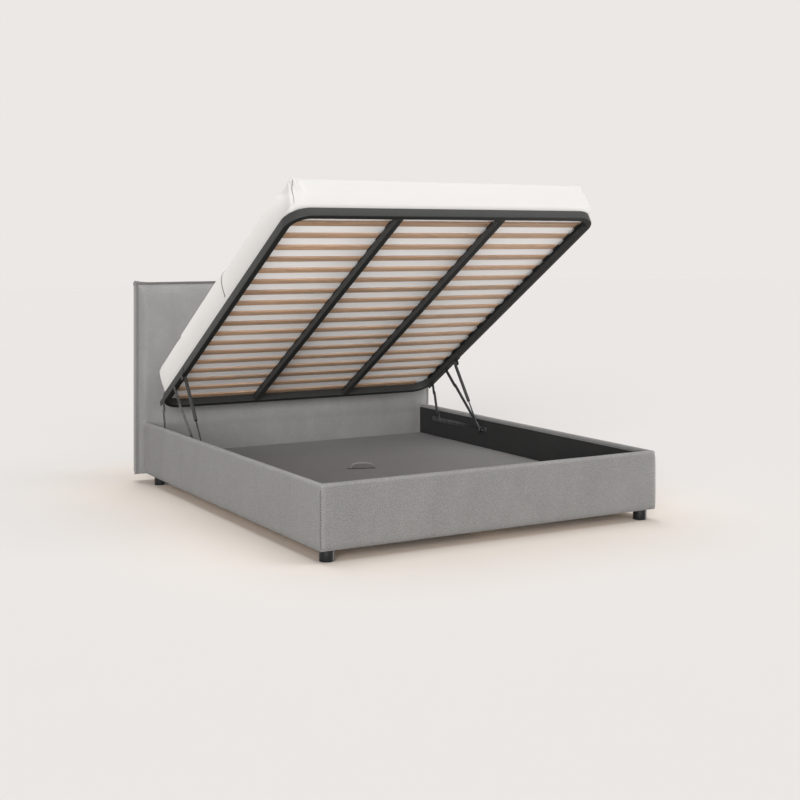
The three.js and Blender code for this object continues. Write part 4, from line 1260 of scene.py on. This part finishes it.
class BED_OT_mattress(bpy.types.Operator):
    """Shapes the mattress in its fitted sheet: crowned top, corner seams, gathers and folds"""

    bl_idname = "bed.mattress"
    bl_label = "Mattress"

    def execute(self, context):
        s = sizes()
        low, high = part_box("mattress")
        self.half_x = (high.x - low.x) / 2
        self.head, self.foot = -0.032, -1.925
        self.half_y = (self.head - self.foot) / 2
        self.middle = (self.head + self.foot) / 2
        self.crown = 0.006
        self.rise = s.mattress_thickness - self.crown + 0.0035
        self.base = 0.0445

        hx, hy = self.half_x, self.half_y
        sides = graded(2 * hy, 0.003, 0.004, ((0.825, 0.036, 0.0035), (1.48, 0.03, 0.005)))
        ends = graded(2 * hx, 0.003, 0.003)
        rim = [(x - hx, -hy) for x in ends[:-1]]
        rim += [(hx, y - hy) for y in sides[:-1]]
        rim += [(hx - x, hy) for x in ends[:-1]]
        rim += [(-hx, y - hy) for y in reversed(sides[1:])]

        levels = [("floor", share) for share in (0.0, 0.2, 0.5, 0.75, 0.9, 0.97)]
        levels += [("under", i / 6) for i in range(7)]
        levels += SIDE_LEVELS + OVER_LEVELS
        levels += [("top", share) for share in (0.985, 0.96, 0.92, 0.86, 0.78, 0.66, 0.5, 0.3, 0.12, 0.0)]

        def place(u, v):
            px, py = rim[round(u * len(rim)) % len(rim)]
            kind, share = levels[round(v * (len(levels) - 1))]
            return self.shaped(px, py, kind, share)

        body = new_grid("mattress_body", len(rim), len(levels) - 1, place)
        body.location = (0, self.middle, self.base)
        settle(body)
        tidy_normals(body, 0.00001)

        def tucked_in(co):
            at_knot = co.y < self.foot + 0.02 and co.x < 0.07 - self.half_x
            return at_knot or co.z < self.base + 0.03

        fill_out(body, tucked_in, 3.0, 0.004)
        onto_platform(body)
        smooth(body)
        to_flat = platform_matrix().inverted()

        # Painted light and shade on the mattress's left side: lighter upwards, most near the foot, and a little darker
        # towards the head.
        def painted_light_upwards(co):
            flat = to_flat @ co
            if flat.x > 0.02 - self.half_x or flat.z < 0.06:
                return 0.0
            near_foot = max(0.0, 1 - (flat.y - self.foot) / 0.6)
            return (0.10 - flat.z) * (6.4 + 4.0 * near_foot) + 0.06 * (flat.y - self.foot)

        paint_light_and_shade(body, painted_light_upwards)
        finish_piece(body, "platform", mattress_cloth(), ["mattress"])
        self.seams(body)
        return {"FINISHED"}

    def ring(self, px, py, inset_x, inset_y, corner):
        """The rim's point on a rectangle that is smaller by the insets and has round corners."""
        hx, hy = self.half_x - inset_x, self.half_y - inset_y
        x, y = px * hx / self.half_x, py * hy / self.half_y
        cx = max(-(hx - corner), min(hx - corner, x))
        cy = max(-(hy - corner), min(hy - corner, y))
        dx, dy = x - cx, y - cy
        reach = math.hypot(dx, dy)
        if reach > 1e-9:
            scale = max(abs(dx), abs(dy)) / reach
            dx, dy = dx * scale, dy * scale
        return cx + dx, cy + dy

    def shaped(self, px, py, kind, share):
        """One point of the mattress, with its middle at the origin and its underside at height 0."""
        near_head = max(0.0, 1 - (self.half_y - py) / 0.10)
        near_foot = max(0.0, 1 - (self.half_y + py) / 0.07)
        upper_head = 0.026 + 0.014 * min(1.0, (px + self.half_x) / 0.05)
        lower, upper = 0.022, 0.030 - 0.019 * near_foot + (upper_head - 0.030) * near_head
        quarter = math.pi / 2
        if kind in ("floor", "under"):
            angle = quarter * (share if kind == "under" else 0.0)
            inset, height = lower * (1 - math.sin(angle)), lower * (1 - math.cos(angle))
        elif kind == "side":
            inset, height = 0.0, lower + (self.rise - lower - upper) * share
        else:
            angle = quarter * (share if kind == "over" else 1.0)
            inset, height = upper * (1 - math.cos(angle)), self.rise - upper * (1 - math.sin(angle))
        up = height / self.rise
        lean = up**1.4
        inset_x = inset + (0.010 * (1 - near_foot) if px > 0 else 0.002) * lean
        inset_y = inset + (0.003 if py < 0 else 0.012) * lean
        x, y = self.ring(px, py, inset_x, inset_y, max(0.018 - inset * 0.6, 0.006))
        if kind in ("floor", "top"):
            x, y = x * share, y * share
        z = height
        across, along = x / self.half_x, y / self.half_y
        if kind == "top":
            z += self.crown * (1 - across**2) * (1 - along**2)
        side_x = min(1.0, max(0.0, abs(across) - 0.90) / 0.08)
        side_y = min(1.0, max(0.0, abs(along) - 0.92) / 0.06)
        from_foot, from_head = y + self.half_y, self.half_y - y
        to_side = self.half_x - abs(x)

        swell = 0.006 * math.sin(math.pi * up) if 0 < up < 1 else 0.0
        x += math.copysign(swell * side_x * (1 - 0.8 * bell(from_foot, 0.08)), x)
        if x < 0:
            x += 0.034 * up**0.9 * bell(from_foot, 0.12) * side_x
            y -= 0.056 * (1 - up) * bell(to_side, 0.05) * bell(from_head, 0.08)
        else:
            x += (0.010 * bell(up - 0.35, 0.25) - 0.005 * bell(up - 0.78, 0.12)) * bell(from_foot, 0.12) * side_x
        x -= math.copysign((0.014 if x > 0 else 0.003) * up * bell(from_head, 0.14) * side_x, x)
        y += (0.004 * math.sin(math.pi * up) if 0 < up < 1 else 0.0) * (-1 if y < 0 else 1) * side_y * (
            1 - bell(to_side, 0.1)
        )
        z -= 0.004 * side_x * bell(from_foot - 0.10, 0.07) * up

        if x < 0:
            x, z = self.left_edge(x, z, up, from_foot, to_side, side_x)
            y = self.foot_gather(x, y, z, up, from_foot)
        point = Vector((x, y, z))
        soft = 0.0022 * ripple(point, 0.20, 21.0) + 0.0009 * ripple(point, 0.06, 23.0)
        soft += 0.0007 * ripple((x * 0.4 + y, z * 0.15, 0), 0.014, 29.0) * side_x * (1 - up) * 1.5
        weight = min(1.0, up / 0.3) if kind != "floor" else 0.0
        point.x += math.copysign(soft * weight * side_x, x)
        point.y += math.copysign(soft * weight * side_y * (1 - side_x), y)
        if kind in ("top", "over"):
            point.z += soft * weight * 0.8
        return point

    def left_edge(self, x, z, up, from_foot, to_side, side_x):
        """The left side's long top edge: it dips to the folded hem, stands proud, and dips again at the notch."""
        edge = bell(to_side - 0.02, 0.10) * max(0.0, up - 0.3) / 0.7
        hem = self.hem(up)
        if from_foot < hem:
            share = max(0.0, (from_foot - 0.15) / (hem - 0.15))
            dip = -0.0085 * min(1.0, from_foot / 0.15) + 0.007 * share
        elif from_foot < NOTCH_AT:
            dip = 0.016
        else:
            dip = 0.006 + 0.006 * (from_foot - NOTCH_AT) / 0.4
        z += dip * edge * min(1.0, (2 * self.half_y - from_foot) / 0.06)
        beyond = from_foot - self.hem(up)
        if side_x > 0:
            if beyond < 0:
                x -= 0.003 * bell(beyond, 0.05) * side_x
            else:
                x += 0.002 * bell(beyond, 0.03) * side_x
        return x, z

    def hem(self, up):
        """How far from the foot the sheet's folded hem lies, at a share of the mattress's height."""
        return HEM_AT - 0.16 * max(0.0, up - 0.82) + 0.010 * (0.5 - abs(up - 0.55))

    def seams(self, body):
        """A dark cord as painted shadow along the folded hem on the left side, and the seam down from the foot
        corner's knot.
        """
        flat = platform_matrix() @ Matrix.Translation((0, self.middle, self.base))
        hem, corner = [], []
        for kind, share in SIDE_LEVELS + OVER_LEVELS:
            up = self.shaped(-self.half_x, 0.0, kind, share).z / self.rise
            hem.append(self.shaped(-self.half_x, self.hem(up) - 0.001 - self.half_y, kind, share))
            corner.append(Vector((KNOT_ACROSS - SEAM_LEAN * (1 - up), -self.half_y - 0.01, up * self.rise)))
        # Painted shadow: the hem cord is a dark strand laid where the folded hem casts its shadow line.
        self.cord(body, "mattress_hem_cord", [flat @ p for p in hem], 0.0028, 8)
        self.cord(body, "mattress_corner_seam", [flat @ p for p in corner[:-9]], 0.0012, 30)

    def cord(self, body, name, spine, radius, passes):
        """A thin cord laid on the mattress along a line of points, which is smoothed as many times as passes says."""
        spine = [body.closest_point_on_mesh(p)[1] for p in spine]
        for _ in range(passes):
            spine[1:-1] = [(a + b * 2 + c) / 4 for a, b, c in zip(spine, spine[1:], spine[2:])]

        def place(u, v):
            at = v * (len(spine) - 1)
            index = min(len(spine) - 2, int(at))
            centre = spine[index].lerp(spine[index + 1], at - index)
            along = (spine[index + 1] - spine[index]).normalized()
            across = along.cross(Vector((1, 0, 0))).normalized()
            thick = radius * min(1.0, 12 * (1 - v) + 0.1)
            turn = 2 * math.pi * u
            return centre + (across * math.cos(turn) + across.cross(along) * math.sin(turn)) * thick

        cord = new_grid(name, 10, 72, place)
        close_ends(cord, 0.00001)
        tidy_normals(cord, 0.00001)
        smooth(cord)
        finish_piece(cord, "platform", thread("Hem Cord", 0.6))

    def foot_gather(self, x, y, z, up, from_foot):
        """The sheet gathered at the foot's left corner: a knot, a seam down from it and a slanting fold."""
        if from_foot > 0.06:
            return y
        across = x - KNOT_ACROSS + SEAM_LEAN * (1 - up)
        fold = across - 0.041 * (1 - up) / 0.56
        weight = min(1.0, max(0.0, (up - FOLD_FROM) / 0.2))
        if 0 < across and fold < 0 and up > FOLD_FROM:
            y += 0.008 * weight * min(1.0, across / 0.004)
        if up > FOLD_FROM and 0 <= fold < 0.03:
            y -= 0.005 * weight * bell(fold - 0.006, 0.008)
        y += 0.006 * bell(across, 0.0035) * min(1.0, max(0.0, up))
        y += 0.014 * bell(math.hypot(across - 0.003, (z - self.rise + 0.020)), 0.008)
        y -= 0.003 * bell(math.hypot(across - 0.004, (z - self.rise + 0.004)), 0.008)
        return y


# Stage


class BED_OT_stage(bpy.types.Operator):
    """Sets the pale floor, the soft light and the camera"""

    bl_idname = "bed.stage"
    bl_label = "Stage"

    def execute(self, context):
        scene = context.scene
        colour = colours().backdrop
        free_selection()
        bpy.ops.mesh.primitive_plane_add(size=60, location=(0, 0, 0))
        ground = bpy.context.object
        ground.name = "studio_floor"
        material, t, shader, place = new_material("Pale Studio Floor", colour)
        soft = t.add("ShaderNodeTexNoise", {"Vector": place, "Scale": 3.0, "Detail": 2.0})
        base = t.mix(soft.outputs[0], tinted(colour, 0.977), tinted(colour, 0.983))
        # Painted shade tint: where the bed hems the floor in, its colour turns redder and less blue.
        open_sky = t.add("ShaderNodeAmbientOcclusion", {"Distance": 0.8}, samples=8).outputs["AO"]
        painted_shade_tint = t.mix(1.0, base, (1.09, 1.035, 0.97, 1), "MULTIPLY")
        base = t.mix(t.range(open_sky, 0.8, 1.0, 1.0, 0.0), base, painted_shade_tint)
        finish_shader(t, shader, base, 1.0, Specular_IOR_Level=0.0)
        ground.data.materials.append(material)

        world = bpy.data.worlds.new("Studio")
        scene.world = world
        world.use_nodes = True
        w = Tree(world.node_tree)
        nodes = world.node_tree.nodes
        back = nodes["Background"]
        w.feed(back.inputs, {0: (*colour, 1), 1: 1.0})
        light = w.add("ShaderNodeBackground", {0: (1.0, 1.0, 1.0, 1), 1: 0.252})
        path = w.add("ShaderNodeLightPath")
        seen = w.math("MAXIMUM", path.outputs["Is Camera Ray"], path.outputs["Is Glossy Ray"])
        chosen = w.add("ShaderNodeMixShader", {0: seen, 1: light.outputs[0], 2: back.outputs[0]})
        w.feed(nodes["World Output"].inputs, {0: chosen.outputs[0]})

        # Name, degrees round from the foot end towards the right, degrees up, strength
        lamps = (
            ("camera_side_light", -40, 12, 2.45),
            ("foot_end_light", 0, 12, 0.34),
            ("overhead_light", 180, 68, 1.15),
            ("right_high_light", 60, 68, 0.565),
            ("right_light", 60, 40, 0.335),
            ("low_reflector", 90, -14, 1.0),
        )
        for name, around, up, power in lamps:
            free_selection()
            bpy.ops.object.light_add(type="SUN")
            lamp = bpy.context.object
            lamp.name = name
            lamp.data.energy = power
            lamp.data.angle = math.radians(35)
            around, up = math.radians(around), math.radians(up)
            source = Vector((math.sin(around) * math.cos(up), -math.cos(around) * math.cos(up), math.sin(up)))
            lamp.rotation_euler = (-source).to_track_quat("-Z", "Y").to_euler()
            lamp.location = source * 6
            if up < 0:
                blockers = bpy.data.collections.new(f"{name}_blockers")
                blockers.objects.link(ground)
                blockers.collection_objects[0].light_linking.link_state = "EXCLUDE"
                lamp.light_linking.blocker_collection = blockers

        free_selection()
        bpy.ops.object.camera_add(location=(-3.3019, FOOT_FACE - 4.8502, 1.3144))
        camera = bpy.context.object
        camera.name = "photo_camera"
        camera.rotation_euler = (math.radians(90), 0, -math.atan2(VIEW_ACROSS, VIEW_ALONG))
        camera.data.sensor_width = 36.0
        camera.data.lens = 60.204
        camera.data.shift_y = -0.2
        camera.data.clip_end = 200.0
        scene.camera = camera
        scene.view_settings.view_transform = "Standard"
        scene.view_settings.look = "None"
        return {"FINISHED"}


class BED_PT_panel(bpy.types.Panel):
    """Lists the bed's pieces, sizes and colours"""

    bl_label = "Ottoman Storage Bed"
    bl_idname = "BED_PT_panel"
    bl_space_type = "VIEW_3D"
    bl_region_type = "UI"
    bl_category = "Bed"

    def draw(self, context):
        layout = self.layout
        for group in (context.scene.bed_sizes, context.scene.bed_colours):
            for key in group.__annotations__:
                layout.prop(group, key)
        for operator in OPERATORS:
            layout.operator(operator.bl_idname)


OPERATORS = (
    BED_OT_stage,
    BED_OT_rails,
    BED_OT_corner_stitches,
    BED_OT_feet,
    BED_OT_bearers,
    BED_OT_storage_floor,
    BED_OT_headboard,
    BED_OT_platform_frame,
    BED_OT_slats,
    BED_OT_mechanism,
    BED_OT_mattress,
)
CLASSES = (BedSizes, BedColours, *OPERATORS, BED_PT_panel)


def register():
    for cls in CLASSES:
        bpy.utils.register_class(cls)
    bpy.types.Scene.bed_sizes = PointerProperty(type=BedSizes)
    bpy.types.Scene.bed_colours = PointerProperty(type=BedColours)


def unregister():
    del bpy.types.Scene.bed_colours
    del bpy.types.Scene.bed_sizes
    for cls in reversed(CLASSES):
        bpy.utils.unregister_class(cls)


def main():
    register()
    bpy.ops.bed.stage()
    bpy.ops.bed.rails()
    bpy.ops.bed.corner_stitches()
    bpy.ops.bed.feet()
    bpy.ops.bed.bearers()
    bpy.ops.bed.storage_floor()
    bpy.ops.bed.headboard()
    bpy.ops.bed.platform_frame()
    bpy.ops.bed.slats()
    bpy.ops.bed.mechanism()
    bpy.ops.bed.mattress()


if __name__ == "__main__":
    main()
